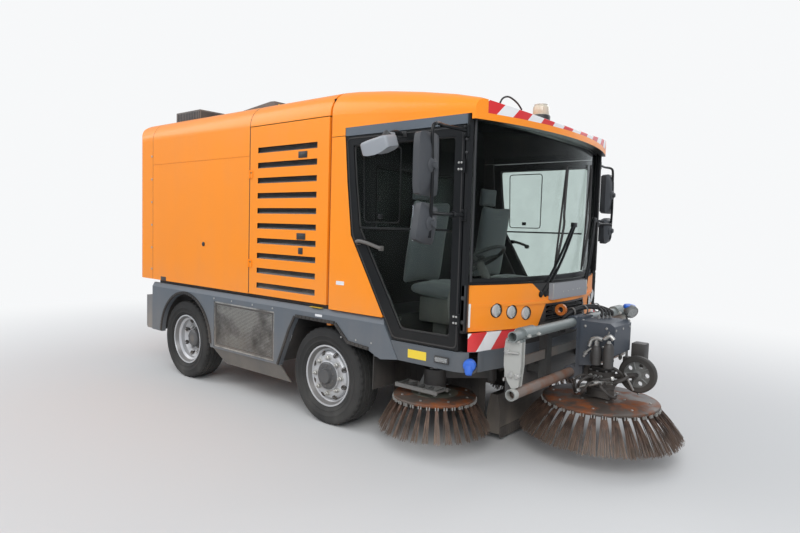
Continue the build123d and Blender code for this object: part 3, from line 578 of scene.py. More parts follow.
# Painted shade: the recessed faces of the pressed slots, inside the outer face of each door, are painted near
# black.
def louvre_slot_shade(tree):
    masks = []
    for side in (-1, 1):
        low = (SLOT_LOW_X - 0.002, side * 1.0, SLOT_TOP - SLOT_PITCH * (SLOT_COUNT - 1) - 0.0505)
        high = (SLOT_HIGH_X + 0.002, side * 1.0394, SLOT_TOP + 0.002)
        masks.append(((0.012, 0.012, 0.012), box_mask(tree, low, high)))
    return masks


dress(orange("louvre_door_paint", louvre_slot_shade), "louvre_door_r", "louvre_door_l")
mesh_black = painted("black_wire_mesh", (0.03, 0.03, 0.032), 0.55, 0.5, 1.5, metallic=0.3,
                     bump=0.2, grain=300.0)
for side, tag in SIDES:
    bm = bmesh.new()
    for row in range(SLOT_COUNT):
        top = SLOT_TOP - SLOT_PITCH * row
        for k in range(46):
            x = SLOT_LOW_X + 0.008 + 0.0155 * k
            add_block(bm, (x, side * 1.027, top - 0.040), (x + 0.003, side * 1.03, top - 0.001))
        for drop in (0.012, 0.024, 0.036):
            add_block(bm, (SLOT_LOW_X + 0.003, side * 1.029, top - drop - 0.001),
                      (SLOT_HIGH_X - 0.003, side * 1.031, top - drop + 0.001))
    settle(bm, f"louvre_mesh_{tag}", f"bay_door_{tag}", mesh_black)
    bm = bmesh.new()
    y = side * SIDE_Y
    for x, z in ((0.012, 2.052), (0.006, 1.423)):
        add_centred(bm, (x, y, z), (0.05, 0.006, 0.025), 0.004)
        add_centred(bm, (x + 0.01, y, z), (0.028, 0.0085, 0.012), 0.003)
    add_centred(bm, (0.003, y, 1.31), (0.025, 0.006, 0.025), 0.004)
    add_turned(bm, (0.003, side * (SIDE_Y + 0.006), 1.31), (0, side, 0),
               [(0.014, 0), (0.014, 0.003), (0.0, 0.004)], 20)
    for z in (1.177, 1.923):
        for x in (-0.64, -0.625):
            add_turned(bm, (x, side * 1.046, z + 0.012), (0, side, 0),
                       [(0.005, 0), (0.004, 0.0025), (0, 0.003)], 10)
    settle(bm, f"louvre_latches_{tag}", f"bay_door_{tag}", black_plastic, 0.001)

# Gap between engine bay and cab: a dark red-orange rubber strip, glued to the front of the bay.
# It runs up both sides and follows the shoulder of the roof.
gap_paint = painted("gap_strip", (0.38, 0.045, 0.008), 0.5, 0.4, 1.4, vary=0.1)
bm = bmesh.new()
gap = [(-1.025, 0.93), (-1.025, 2.31)]
gap += [(-0.845 - 0.18 * math.cos(a), 2.31 + 0.18 * math.sin(a))
        for a in (0.26, 0.52, 0.79, 1.05, 1.31, 1.57)]
gap += [(-y, z) for y, z in gap[::-1]]
strip = ((0.309, 1.0), (0.329, 1.0), (0.329, 0.99), (0.309, 0.99))
rings = [[bm.verts.new((x, y * s, 1.0 + (z - 1.0) * s)) for x, s in strip] for y, z in gap]
skin_rings(bm, rings, capped=False)
settle(bm, "cab_gap_strip", "truck", gap_paint)

# Cab roof: one orange moulding with a thin white line painted along each edge and a hazard band
# of red and white stripes across the brow above the windscreen.
ROOF_LINE_Y, ROOF_LINE_TAPER, ROOF_LINE_HALF = 0.87, 0.149, 0.0135
BROW_CENTRE_X, BROW_EDGE_R = -1.2967, 3.0467
STRIPE_PITCH = 0.27

stripes, stripes_in, stripes_out = node_group(
    "slanted_stripes", [("Along", "NodeSocketFloat", 0.0), ("Across", "NodeSocketFloat", 0.0),
                        ("Pitch", "NodeSocketFloat", 0.28), ("Shift", "NodeSocketFloat", 0.0)],
    [("Mask", "NodeSocketFloat")])
slanted = math_node(stripes, "ADD", stripes_in.outputs["Along"], stripes_in.outputs["Across"])
slanted = math_node(stripes, "ADD", slanted, stripes_in.outputs["Shift"])
pitches = math_node(stripes, "DIVIDE", slanted, stripes_in.outputs["Pitch"])
wire(stripes, over(stripes, math_node(stripes, "FRACT", pitches), 0.5), stripes_out.inputs["Mask"])

RED, WHITE = (0.66, 0.025, 0.03), (0.78, 0.78, 0.78)


def stripe_mask(tree, along, across, pitch, shift):
    node = tree.nodes.new("ShaderNodeGroup")
    node.node_tree = stripes
    node.inputs["Pitch"].default_value = pitch
    node.inputs["Shift"].default_value = shift
    for label, value in (("Along", along), ("Across", across)):
        wire(tree, value, node.inputs[label])
    return node.outputs["Mask"]


def reach_of(tree, a, b):
    squares = math_node(tree, "ADD", math_node(tree, "MULTIPLY", a, a), math_node(tree, "MULTIPLY", b, b))
    return math_node(tree, "SQRT", squares)


def roof_marks(tree):
    x, y, z = place_parts(tree)
    side = math_node(tree, "ABSOLUTE", y)
    from_line = math_node(tree, "SUBTRACT", side, ROOF_LINE_Y)
    drift = math_node(tree, "MULTIPLY_ADD", x, ROOF_LINE_TAPER, from_line)
    line = all_of(tree, under(tree, math_node(tree, "ABSOLUTE", drift), ROOF_LINE_HALF), over(tree, z, 2.3),
                  under(tree, x, 1.28))
    reach = reach_of(tree, math_node(tree, "SUBTRACT", x, BROW_CENTRE_X), y)
    band = all_of(tree, over(tree, reach, BROW_EDGE_R - 0.19), under(tree, side, 0.95), over(tree, z, 2.222))
    red = stripe_mask(tree, y, math_node(tree, "SUBTRACT", reach, z), STRIPE_PITCH, 0.06)
    hazard = mix_color(tree, red, WHITE, RED)
    # Painted shade: faces of the roof turned into the cab are painted near black.
    return [((0.72, 0.72, 0.7), line), (hazard, band), (SHADE_AND_LINING_BLACK, inward_mask(tree, CAB_CENTRE))]


dress(orange("cab_roof_paint", roof_marks), "cab_roof")

# Beacon and aerial: a ribbed clear plastic dome on a black foot, bolted to the middle of the roof,
# and a short black rubber whip that is bent over towards the beacon.
BEACON_X, BEACON_Y = 1.495, -0.06
clear_dome, tree, shader = new_material("clear_beacon_dome", coat=0.4)
shader.inputs["Base Color"].default_value = (0.62, 0.56, 0.44, 1)
shader.inputs["Roughness"].default_value = 0.18
wave = tree.nodes.new("ShaderNodeTexWave")
wave.wave_type = "RINGS"
wave.rings_direction = "Z"
wave.inputs["Scale"].default_value = 22
wire(tree, object_place(tree), wave.inputs["Vector"])
add_bump(tree, shader, wave.outputs["Fac"], 0.5, 0.003)
beacon_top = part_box("lamps")[1].z
bm = bmesh.new()
add_turned(bm, (BEACON_X, BEACON_Y, beacon_top - 0.105), (0, 0, 1),
           [(0.068, -0.02), (0.068, 0.018), (0.064, 0.026), (0.054, 0.03), (0.0, 0.03)], 40)
settle(bm, "beacon_foot", "truck", black_plastic)
bm = bmesh.new()
add_turned(bm, (BEACON_X, BEACON_Y, beacon_top - 0.075), (0, 0, 1),
           [(0.056, 0.0), (0.0585, 0.006), (0.0585, 0.05), (0.055, 0.062), (0.044, 0.072), (0.02, 0.078),
            (0, 0.079)], 40)
settle(bm, "beacon_dome", "truck", clear_dome)
bm = bmesh.new()
add_turned(bm, (1.515, -0.69, 2.318), (0, 0, 1),
           [(0.02, -0.012), (0.02, 0.004), (0.012, 0.012), (0.0, 0.013)], 20)
add_tube(bm, [(1.515, -0.69, 2.32), (1.52, -0.655, 2.372), (1.524, -0.58, 2.395), (1.528, -0.48, 2.375),
              (1.53, -0.415, 2.34)], 0.006, 10, 6)
settle(bm, "roof_aerial", "truck", rubber_black)

# Cab frame: pressed steel pillars and header, welded and painted black.
# A slate band runs over each door, and the right door frame carries the light grey kerb mirror.
SLATE = (0.112, 0.132, 0.155)
KERB_GREY = (0.36, 0.38, 0.4)


def frame_marks(tree):
    return [(SLATE, box_mask(tree, (0.3, side * 1.0, 2.1542),
                             (1.512, side * 1.05, 2.22))) for side in (-1, 1)]


def kerb_marks(tree):
    return [(KERB_GREY, box_mask(tree, (0.8, -1.3, 1.97), (1.1, -1.13, 2.13)))]


cab_frame_paint = painted("cab_frame_paint", (0.009, 0.01, 0.011), 0.36, 0.08, 1.1, bump=0.04, gloss=0.25,
                          marks=frame_marks)
dress(cab_frame_paint, "cab_frame")
dress(satin_black, "door_frame_l")
dress(painted("door_paint_with_mirror", (0.008, 0.009, 0.01), 0.3, 0.05, 1.1, bump=0.03, marks=kerb_marks,
              gloss=0.22), "door_frame_r")

# Glass: green-tinted safety glass in the windscreen, doors and rear window, with a thin film of dust.
# The windscreen is one pane, bent to the bow of the cab's front and set in a rubber gasket.
glass, tree, shader = new_material("tinted_safety_glass")
shader.inputs["Roughness"].default_value = 0.0
shader.inputs["Transmission Weight"].default_value = 1.0
shader.inputs["IOR"].default_value = 1.1
film = remap(tree, noise_node(tree, 5.0, 5.0), 0.4, 0.8)
wire(tree, mix_color(tree, film, (0.71, 0.775, 0.755), (0.66, 0.72, 0.7)), shader.inputs["Base Color"])
dress(glass, "cab_glass", "door_glass_r", "door_glass_l")
GLASS_R = (0.98 ** 2 + 0.163 ** 2) / (2 * 0.163)


def glass_x(y, stand_off):
    return 1.675 - GLASS_R + math.sqrt(GLASS_R ** 2 - y * y) + stand_off


bm = bmesh.new()
rows = []
for k in range(41):
    y = -0.945 + 0.04725 * k
    rows.append([bm.verts.new((glass_x(y, gap), y, z))
                 for gap, z in ((-0.008, 1.205), (-0.008, 2.18), (-0.018, 2.18), (-0.018, 1.205))])
skin_rings(bm, rows)
add_block(bm, (0.35, -0.6, 1.48), (0.358, 0.6, 2.0), 0.001, 1)
panes = settle(bm, "windscreen_and_rear_pane", "truck", glass)
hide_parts("cab_glass")

# Doors: black steel frames with rubber seals round their edge and round the glass, and a sliding window.
# A worn plastic pull handle sits under the window, and the hinge bolts show at the front edge.
DOOR_EDGE = [(0.551, 2.085), (1.425, 2.085), (1.425, 0.835), (1.027, 0.835), (0.623, 1.5), (0.575, 1.85)]
FRAME_EDGE = [(0.483, 2.145), (1.493, 2.145), (1.493, 0.76), (0.965, 0.76), (0.947, 0.792), (0.557, 1.452),
              (0.511, 1.843)]
SLIDER = [(0.645, 2.05), (0.985, 2.05), (0.985, 1.545), (0.665, 1.545)]
pale_handle = painted("worn_handle_plastic", (0.12, 0.115, 0.108), 0.5, 0.2, 1.0, bump=0.1)


def edge_loop(bm, corners, y, radius, sides=8, cut=0.035):
    loop = []
    count = len(corners)
    for k in range(count):
        point = Vector((corners[k][0], y, corners[k][1]))
        before = Vector((corners[k - 1][0], y, corners[k - 1][1]))
        after = Vector((corners[(k + 1) % count][0], y, corners[(k + 1) % count][1]))
        first = point + (before - point).normalized() * cut
        last = point + (after - point).normalized() * cut
        for t in (0, 0.25, 0.5, 0.75, 1):
            loop.append(first * (1 - t) ** 2 + point * 2 * t * (1 - t) + last * t ** 2)
    loop.append(loop[0])
    add_tube(bm, loop, radius, sides, smooth=False)


for side, tag in SIDES:
    body = f"door_{tag}"
    bm = bmesh.new()
    edge_loop(bm, DOOR_EDGE, side * 1.0225, 0.0085)
    outer = [(x * 0.98 + 0.0196, z * 0.985 + 0.02175) for x, z in FRAME_EDGE]
    edge_loop(bm, outer, side * 1.0405, 0.005)
    settle(bm, f"door_seals_{tag}", body, rubber_black)
    bm = bmesh.new()
    edge_loop(bm, SLIDER, side * 1.0275, 0.0042, cut=0.03)
    add_centred(bm, (1.005, side * 1.0275, 1.505), (0.385, 0.003, 0.007), 0.002)
    add_centred(bm, (0.815, side * 1.03, 1.585), (0.02, 0.006, 0.015), 0.003)
    settle(bm, f"sliding_window_{tag}", body, satin_black)
    bm = bmesh.new()
    for x, lift in ((0.63, 0.0), (0.845, -0.035)):
        add_centred(bm, (x, side * 1.047, 1.4025 + lift), (0.018, 0.010, 0.0175), 0.004)
    add_tube(bm, [(0.622, side * 1.062, 1.405), (0.66, side * 1.072, 1.412), (0.74, side * 1.076, 1.4),
                  (0.82, side * 1.07, 1.378), (0.856, side * 1.06, 1.367)], 0.0125, 12, 5)
    settle(bm, f"door_handle_{tag}", body, pale_handle)
    bm = bmesh.new()
    for z in (0.95, 1.9):
        for x in (1.462, 1.482):
            for dz in (-0.02, 0.02):
                add_turned(bm, (x, side * 1.046, z + dz), (0, side, 0),
                           [(0.007, 0), (0.007, 0.003), (0.004, 0.0045), (0, 0.005)], 12)
    settle(bm, f"door_hinge_bolts_{tag}", body, zinc)

# A-pillar trim: a black plastic moulding beside the windscreen and a hinge plate low on each corner,
# held by hexagon bolts, with the rubber bead of the windscreen next to it.
for side, tag in SIDES:
    bm = bmesh.new()
    add_centred(bm, (1.52, side * 1.03, 1.0275), (0.014, 0.008, 0.1425), 0.003)
    for z in (0.94, 1.09):
        add_turned(bm, (1.52, side * 1.037, z), (0, side, 0),
                   [(0.014, 0), (0.014, 0.004), (0.008, 0.006), (0, 0.006)], 6)
    for z in (1.98, 2.06, 2.1):
        add_turned(bm, (1.512, side * 1.0375, z), (0, side, 0),
                   [(0.01, 0), (0.01, 0.005), (0.005, 0.008), (0, 0.008)], 6)
    add_tube(bm, [(1.5435, side * 0.995, z) for z in (1.19, 1.7, 2.18)], 0.008, 8, 2)
    settle(bm, f"pillar_trim_{tag}", "truck", black_plastic)

# Cab interior: two seats of foam under grey woven cloth on bolted pedestals, a moulded plastic dashboard
# with vents and dials, the steering wheel on its column, and the frame of the rear window.
SEAT_Y = 0.47
seat_cloth, tree, shader = new_material("grey_seat_cloth")
weave = tree.nodes.new("ShaderNodeTexWave")
weave.inputs["Scale"].default_value = 260
weave.inputs["Distortion"].default_value = 1.5
wire(tree, object_place(tree), weave.inputs["Vector"])
cloth_shade = mix_color(tree, weave.outputs["Fac"], (0.095, 0.102, 0.112), (0.15, 0.16, 0.17))
wire(tree, add_dust(tree, cloth_shade, 0.15, 1.5)[0], shader.inputs["Base Color"])
shader.inputs["Roughness"].default_value = 0.9
shader.inputs["Sheen Weight"].default_value = 0.3
add_bump(tree, shader, weave.outputs["Fac"], 0.4, 0.001)
dash_plastic = painted("dashboard_plastic", (0.075, 0.08, 0.086), 0.55, 0.35, 2.0, bump=0.15, grain=300.0)


def join_grids(bm, front, back, count_u, count_v):
    for i in range(count_u):
        for j in range(count_v):
            cell = [(i, j), (i + 1, j), (i + 1, j + 1), (i, j + 1)]
            bm.faces.new([front[spot] for spot in cell])
            bm.faces.new([back[spot] for spot in cell[::-1]])
    border = [(i, 0) for i in range(count_u)] + [(count_u, j) for j in range(count_v)]
    border += [(count_u - i, count_v) for i in range(count_u)] + [(0, count_v - j) for j in range(count_v)]
    for here, there in zip(border, border[1:] + border[:1]):
        bm.faces.new((front[here], back[here], back[there], front[there]))


def cushion(bm, size, crown, turn, channels):
    steps = 12
    top, low = {}, {}
    for i in range(steps + 1):
        for j in range(steps + 1):
            u, v = i / steps * 2 - 1, j / steps * 2 - 1
            edge = (1 - abs(u) ** 6) * (1 - abs(v) ** 6)
            pull = 1 - 0.05 * (1 - abs(u * v))
            groove = sum(math.exp(-((v - c) / 0.05) ** 2) for c in channels)
            lift = crown * (1 - u * u * 0.6) * (1 - v * v * 0.6) - 0.012 * groove
            half = size[2] / 2 * (0.55 + 0.45 * edge)
            x, y = u * size[0] / 2 * pull, v * size[1] / 2 * pull
            top[i, j] = bm.verts.new(turn @ Vector((x, y, half + lift * edge)))
            low[i, j] = bm.verts.new(turn @ Vector((x, y, -half - 0.3 * crown * edge)))
    join_grids(bm, top, low, steps, steps)


for side, tag in SIDES:
    y = side * SEAT_Y
    for part, centre, size, crown, tilt, channels in (
            ("seat_base", (1.045, y, 1.065), (0.43, 0.47, 0.1), 0.02, -3, (-0.5, 0.0, 0.5)),
            ("seat_back", (0.80, y, 1.41), (0.62, 0.43, 0.085), 0.02, 82, (-0.45, 0.45)),
            ("headrest", (0.7495, y, 1.80), (0.15, 0.23, 0.055), 0.012, 86, ())):
        bm = bmesh.new()
        turn = Matrix.Rotation(math.radians(-tilt), 4, "Y")
        cushion(bm, size, crown, turn, channels)
        bmesh.ops.transform(bm, matrix=Matrix.Translation(centre), verts=bm.verts)
        piece = settle(bm, f"{part}_{tag}", "truck", seat_cloth, smooth_angle=80)
        rounder = piece.modifiers.new("soft", "SUBSURF")
        rounder.levels = rounder.render_levels = 1

bm = bmesh.new()
for side in (-1, 1):
    y = side * SEAT_Y
    add_block(bm, (0.87, y - 0.17, 0.83), (1.16, y + 0.17, 1.02), 0.015)
    add_block(bm, (0.96, y - 0.115, 0.732), (1.085, y + 0.115, 0.84), 0.01)
    for dy in (-0.06, 0.06):
        add_rod(bm, (0.757, y + dy, 1.66), (0.75, y + dy, 1.78), 0.006, sides=10)
profile = [(1.325, 0.90), (1.443, 0.90), (1.443, 1.15), (1.40, 1.158), (1.34, 1.135), (1.312, 1.09),
           (1.305, 1.02)]
add_slab(bm, [(x, 0.9, z) for x, z in profile], (0, -1, 0), 1.8)
for y in (-0.8, 0.0, 0.8):
    add_block(bm, (1.395, y - 0.04, 0.733), (1.443, y + 0.04, 0.93), 0.004)
add_rod(bm, (1.385, -SEAT_Y, 1.1), (1.268, -SEAT_Y, 1.287), 0.03)
settle(bm, "dashboard", "truck", dash_plastic, 0.006)
bm = bmesh.new()
wheel_spin = Vector((-0.53, 0, 0.848))
hub = Vector((1.262, -SEAT_Y, 1.297))
add_turned(bm, hub, wheel_spin,
           [(0.2 + 0.014 * math.cos(a), 0.014 * math.sin(a)) for a in turns(10)], 48, True)
add_turned(bm, hub, wheel_spin, [(0.055, -0.02), (0.06, 0.0), (0.05, 0.014), (0.0, 0.016)], 24)
for angle in (math.radians(20), math.radians(160), math.radians(270)):
    way = Vector((0.848 * math.sin(angle), math.cos(angle), 0.53 * math.sin(angle)))
    add_rod(bm, hub + way * 0.045, hub + way * 0.192, 0.013, 0.009, 10)
stand_in = settle(bm, "steering_wheel", "truck", black_plastic)
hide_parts("cab_interior")
bm = bmesh.new()
for y in (-0.72, -0.2, 0.12, 0.44, 0.72):
    add_block(bm, (1.375, y - 0.075, 1.152), (1.425, y + 0.075, 1.1605), 0.003)
    for k in range(5):
        add_block(bm, (1.382 + 0.008 * k, y - 0.066, 1.159), (1.386 + 0.008 * k, y + 0.066, 1.163))
add_block(bm, (1.318, -0.62, 1.1), (1.345, -0.34, 1.16), 0.01)
add_block(bm, (1.31, 0.05, 1.03), (1.33, 0.25, 1.1), 0.006)
settle(bm, "dashboard_vents", "truck", black_plastic, 0.001)
bm = bmesh.new()
add_block(bm, (0.358, -0.016, 1.49), (0.372, 0.016, 1.99), 0.003)
edge_frame = [(-0.59, 1.49), (0.59, 1.49), (0.59, 1.99), (-0.59, 1.99)]
for k in range(4):
    (y0, z0), (y1, z1) = edge_frame[k], edge_frame[(k + 1) % 4]
    add_rod(bm, (0.372, y0, z0), (0.372, y1, z1), 0.012, sides=8)
add_block(bm, (0.374, -0.58, 1.72), (0.388, -0.555, 1.76), 0.003)
settle(bm, "rear_window_frame", "truck", rubber_black)

# Mirrors: dark grey moulded shells with silvered glass on their rear faces, a tall one over a short one.
# They are clamped to bent steel tubes, which bolt to two brackets on each front pillar.
mirror_shell = painted("mirror_shell_plastic", (0.043, 0.047, 0.053), 0.5, 0.12, 1.0, bump=0.12, grain=200.0)
mirror_glass, tree, shader = new_material("mirror_glass", metallic=1.0)
shader.inputs["Base Color"].default_value = (0.72, 0.74, 0.76, 1)
wire(tree, remap(tree, noise_node(tree, 8.0), 0.4, 0.8, 0.03, 0.16), shader.inputs["Roughness"])
MIRROR_X, MIRROR_Y = 1.47, 1.388


def shell_head(bm, centre, size, turn, bulge, knob):
    count_y, count_z = 8, 10
    front, back = {}, {}
    for i in range(count_y + 1):
        for j in range(count_z + 1):
            u, v = i / count_y * 2 - 1, j / count_z * 2 - 1
            dome = (1 - abs(u) ** 3) * (1 - abs(v) ** 4)
            y = u * (1 - 0.10 * v ** 6) * size[1] / 2
            z = v * (1 - 0.06 * u ** 6) * size[2] / 2
            front[i, j] = bm.verts.new(centre + turn @ Vector((size[0] * 0.25 + bulge * dome, y, z)))
            back[i, j] = bm.verts.new(centre + turn @ Vector((-size[0] / 2, y * 0.97, z * 0.985)))
    join_grids(bm, front, back, count_y, count_z)
    hub = centre + turn @ Vector((size[0] * 0.25 + bulge * 0.8, 0, knob))
    add_turned(bm, hub, turn @ Vector((1, 0, 0)),
               [(0.046, -0.02), (0.046, 0.006), (0.036, 0.014), (0.022, 0.016), (0.02, 0.03), (0.0, 0.032)],
               24)


for side, tag in SIDES:
    y = side * MIRROR_Y
    bm = bmesh.new()
    for z, size, lean, knob in ((1.877, (0.06, 0.185, 0.36), 0, -0.01),
                                (1.54, (0.06, 0.17, 0.225), side * 12, 0.0)):
        centre = Vector((MIRROR_X + 0.002, y - side * 0.006, z))
        shell_head(bm, centre, size, Matrix.Rotation(math.radians(lean), 4, "X"), 0.03, knob)
    shells = settle(bm, f"mirror_shells_{tag}", "truck", mirror_shell, smooth_angle=50)
    bm = bmesh.new()
    add_tube(bm, [(1.515, side * 1.043, 2.107), (1.51, side * 1.1, 2.11), (1.49, side * 1.24, 2.112),
                  (MIRROR_X + 0.038, side * 1.352, 2.108), (MIRROR_X + 0.04, y, 2.07),
                  (MIRROR_X + 0.042, y, 1.95)],
             0.0105, 12, 6)
    add_tube(bm, [(MIRROR_X + 0.042, y, 1.96), (MIRROR_X + 0.05, y, 1.75), (MIRROR_X + 0.042, y, 1.46)],
             0.0105, 12, 4)
    add_tube(bm, [(1.515, side * 1.043, 1.6), (1.49, side * 1.2, 1.6),
                  (MIRROR_X + 0.045, y - side * 0.03, 1.6),
                  (MIRROR_X + 0.045, y, 1.6)], 0.0105, 12, 5)
    for z in (2.107, 1.6):
        add_centred(bm, (1.515, side * 1.052, z), (0.015, 0.012, 0.035), 0.005)
        for dz in (-0.022, 0.022):
            add_turned(bm, (1.515, side * 1.062, z + dz), (0, side, 0),
                       [(0.011, 0), (0.011, 0.007), (0, 0.009)], 6)
    add_turned(bm, (1.49, side * 1.135, 1.6), (0, side, 0.0), [(0.02, -0.012), (0.02, 0.012)], 16)
    settle(bm, f"mirror_arms_{tag}", "truck", satin_black)
    bm = bmesh.new()
    for z, half_wide, half_high in ((1.8775, 0.08, 0.1625), (1.54, 0.078, 0.1)):
        add_centred(bm, (1.438, y - side * 0.012, z), (0.0025, half_wide, half_high), 0.002)
    settle(bm, f"mirror_glasses_{tag}", "truck", mirror_glass)
    if side < 0:
        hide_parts("mirrors")

# Kerb mirror: a light grey plastic shell that looks down beside the right door.
# It hangs by a ball joint from a short bent tube, which is screwed to the door frame.
KERB_RINGS = ((0.9, -0.03, 0.026), (0.985, -0.033, 0.024), (1.0, -0.026, 0.02), (1.0, 0.024, 0.0),
              (0.985, 0.034, 0.0), (0.93, 0.041, 0.0), (0.7, 0.047, 0.0), (0.35, 0.05, 0.0))
bm = bmesh.new()
add_turned(bm, (0.985, -1.172, 2.105), (-0.5, -0.4, -0.75),
           [(0.03, -0.02), (0.034, 0.0), (0.03, 0.02), (0.0, 0.024)], 20)
add_tube(bm, [(1.005, -1.045, 2.128), (1.006, -1.1, 2.138), (1.0, -1.15, 2.128), (0.982, -1.182, 2.1)],
         0.0095, 10, 5)
add_block(bm, (0.97, -1.05, 2.108), (1.04, -1.036, 2.146), 0.004)
settle(bm, "kerb_mirror_joint", "door_r", black_plastic)
lean = Matrix.Rotation(math.radians(12), 3, "X") @ Matrix.Rotation(math.radians(-10), 3, "Y")
bm = bmesh.new()
rings = []
for share, height, belly in KERB_RINGS:
    ring = []
    for a in turns(48):
        u = math.copysign(abs(math.cos(a)) ** (1 / 3), math.cos(a))
        v = math.copysign(abs(math.sin(a)) ** (1 / 3), math.sin(a))
        place = Vector((0.119 * share * u, 0.067 * share * v, height - belly * (1 - u * u)))
        ring.append(bm.verts.new(Vector((0.945, -1.205, 2.04)) + lean @ place))
    rings.append(ring)
skin_rings(bm, rings)
kerb_grey = painted("kerb_mirror_grey", (0.3, 0.32, 0.345), 0.42, 0.15, 1.0, bump=0.06)
settle(bm, "kerb_mirror_shell", "door_r", kerb_grey, smooth_angle=50)

# Windscreen wipers: two pairs of black steel rods on pivots below the glass, with rubber blades.
# They park with the blades upright, just off the bowed pane.


def on_glass(y, z, stand_off=0.02):
    return (glass_x(y, stand_off), y, z)


for tag, pivot, elbow, blade_low, blade_top in (
        ("middle", (-0.378, 1.09), (0.115, 1.57), (-0.12, 1.21), (0.014, 1.993)),
        ("left", (0.325, 1.09), (0.718, 1.624), (0.43, 1.22), (0.593, 2.06))):
    bm = bmesh.new()
    for shift in (0.0, 0.055):
        root = on_glass(pivot[0] + shift, pivot[1], 0.062)
        bend = on_glass((pivot[0] + elbow[0]) / 2 + shift, (pivot[1] + elbow[1]) / 2, 0.05)
        add_tube(bm, [root, bend, on_glass(elbow[0] + shift * 0.6, elbow[1], 0.036)], 0.0095, 8, 5)
        add_turned(bm, (root[0] - 0.018, root[1], pivot[1] - 0.003), (1, 0, 0.1),
                   [(0.022, -0.02), (0.022, 0.022), (0.014, 0.03), (0.0, 0.031)], 16)
    add_centred(bm, on_glass(elbow[0] + 0.015, elbow[1], 0.034), (0.012, 0.035, 0.018), 0.005)
    settle(bm, f"wiper_arms_{tag}", "truck", satin_black)
    bm = bmesh.new()
    middle = ((blade_low[0] + blade_top[0]) / 2, (blade_low[1] + blade_top[1]) / 2)
    add_tube(bm, [on_glass(*blade_low, 0.008), on_glass(*middle, 0.009),
                  on_glass(*blade_top, 0.008)], 0.0075, 6, 6)
    add_tube(bm, [on_glass(blade_low[0], blade_low[1] + 0.03, 0.014),
                  on_glass(middle[0], middle[1] - 0.06, 0.034),
                  on_glass(middle[0], middle[1] + 0.06, 0.034),
                  on_glass(blade_top[0], blade_top[1] - 0.03, 0.014)],
             0.009, 8, 6)
    settle(bm, f"wiper_blade_{tag}", "truck", rubber_black)

# Front panel: one orange moulding that unclips below the windscreen, with a black recess for the wipers.
# Three round lamps a side, a black slatted grille with the tow eye, and a blank riveted plate are set in it.
PLATE_GREY, TOW_EYE_ORANGE = (0.27, 0.275, 0.29), (0.42, 0.11, 0.01)


def panel_marks(tree):
    x, y, z = place_parts(tree)
    side = math_node(tree, "ABSOLUTE", y)
    dip = math_node(tree, "MULTIPLY_ADD", side, 0.68, 0.846)
    # Painted shade: the grille mouth behind the slats and the hole round the tow eye's shank are painted near
    # black; the wiper recess is painted the same near black.
    recess = all_of(tree, over(tree, z, math_node(tree, "MAXIMUM", dip, 1.072)), under(tree, side, 0.47))
    flare = math_node(tree, "MULTIPLY_ADD", z, -0.55, 0.877)
    shank = box_mask(tree, (1.66, -0.22, 0.9), (1.746, -0.18, 1.02))
    ring = box_mask(tree, (1.7455, -0.2125, 0.93), (1.83, -0.1875, 1.02))
    around_ring = math_node(tree, "SUBTRACT", 1.0, ring)
    mouth = all_of(tree, under(tree, side, flare), under(tree, z, 1.02), around_ring)
    plate = box_mask(tree, (1.7285, -0.2905, 1.0475), (1.77, 0.2905, 1.1605))
    marks = [(SHADE_AND_LINING_BLACK, recess), (SHADE_AND_LINING_BLACK, mouth), (SHADE_AND_LINING_BLACK, shank), (TOW_EYE_ORANGE, ring),
             (PLATE_GREY, plate)]
    for way in (-1, 1):
        marks.append(((0.8, 0.8, 0.78), box_mask(tree, (1.515, way * 0.985, 0.9),
                                                 (1.545, way * 0.962, 1.05))))
    return marks


dress(orange("front_panel_paint", panel_marks), "cab_front_panel")

lens_clear, tree, shader = new_material("clear_lamp_lens", coat=0.5)
shader.inputs["Base Color"].default_value = (0.85, 0.87, 0.86, 1)
shader.inputs["Transmission Weight"].default_value = 0.75
wire(tree, remap(tree, noise_node(tree, 30.0), 0.3, 0.8, 0.03, 0.2), shader.inputs["Roughness"])
reflector, tree, shader = new_material("lamp_reflector", metallic=1.0)
facets = tree.nodes.new("ShaderNodeTexVoronoi")
facets.inputs["Scale"].default_value = 65
wire(tree, object_place(tree), facets.inputs["Vector"])
facet_shade = mix_color(tree, facets.outputs["Distance"], (0.62, 0.63, 0.62), (0.9, 0.9, 0.88))
wire(tree, facet_shade, shader.inputs["Base Color"])
add_bump(tree, shader, facets.outputs["Distance"], 0.7, 0.004)
shader.inputs["Roughness"].default_value = 0.2
amber_white = painted("led_lamp_yellow_white", (0.72, 0.7, 0.5), 0.3, 0.1, 1.0)

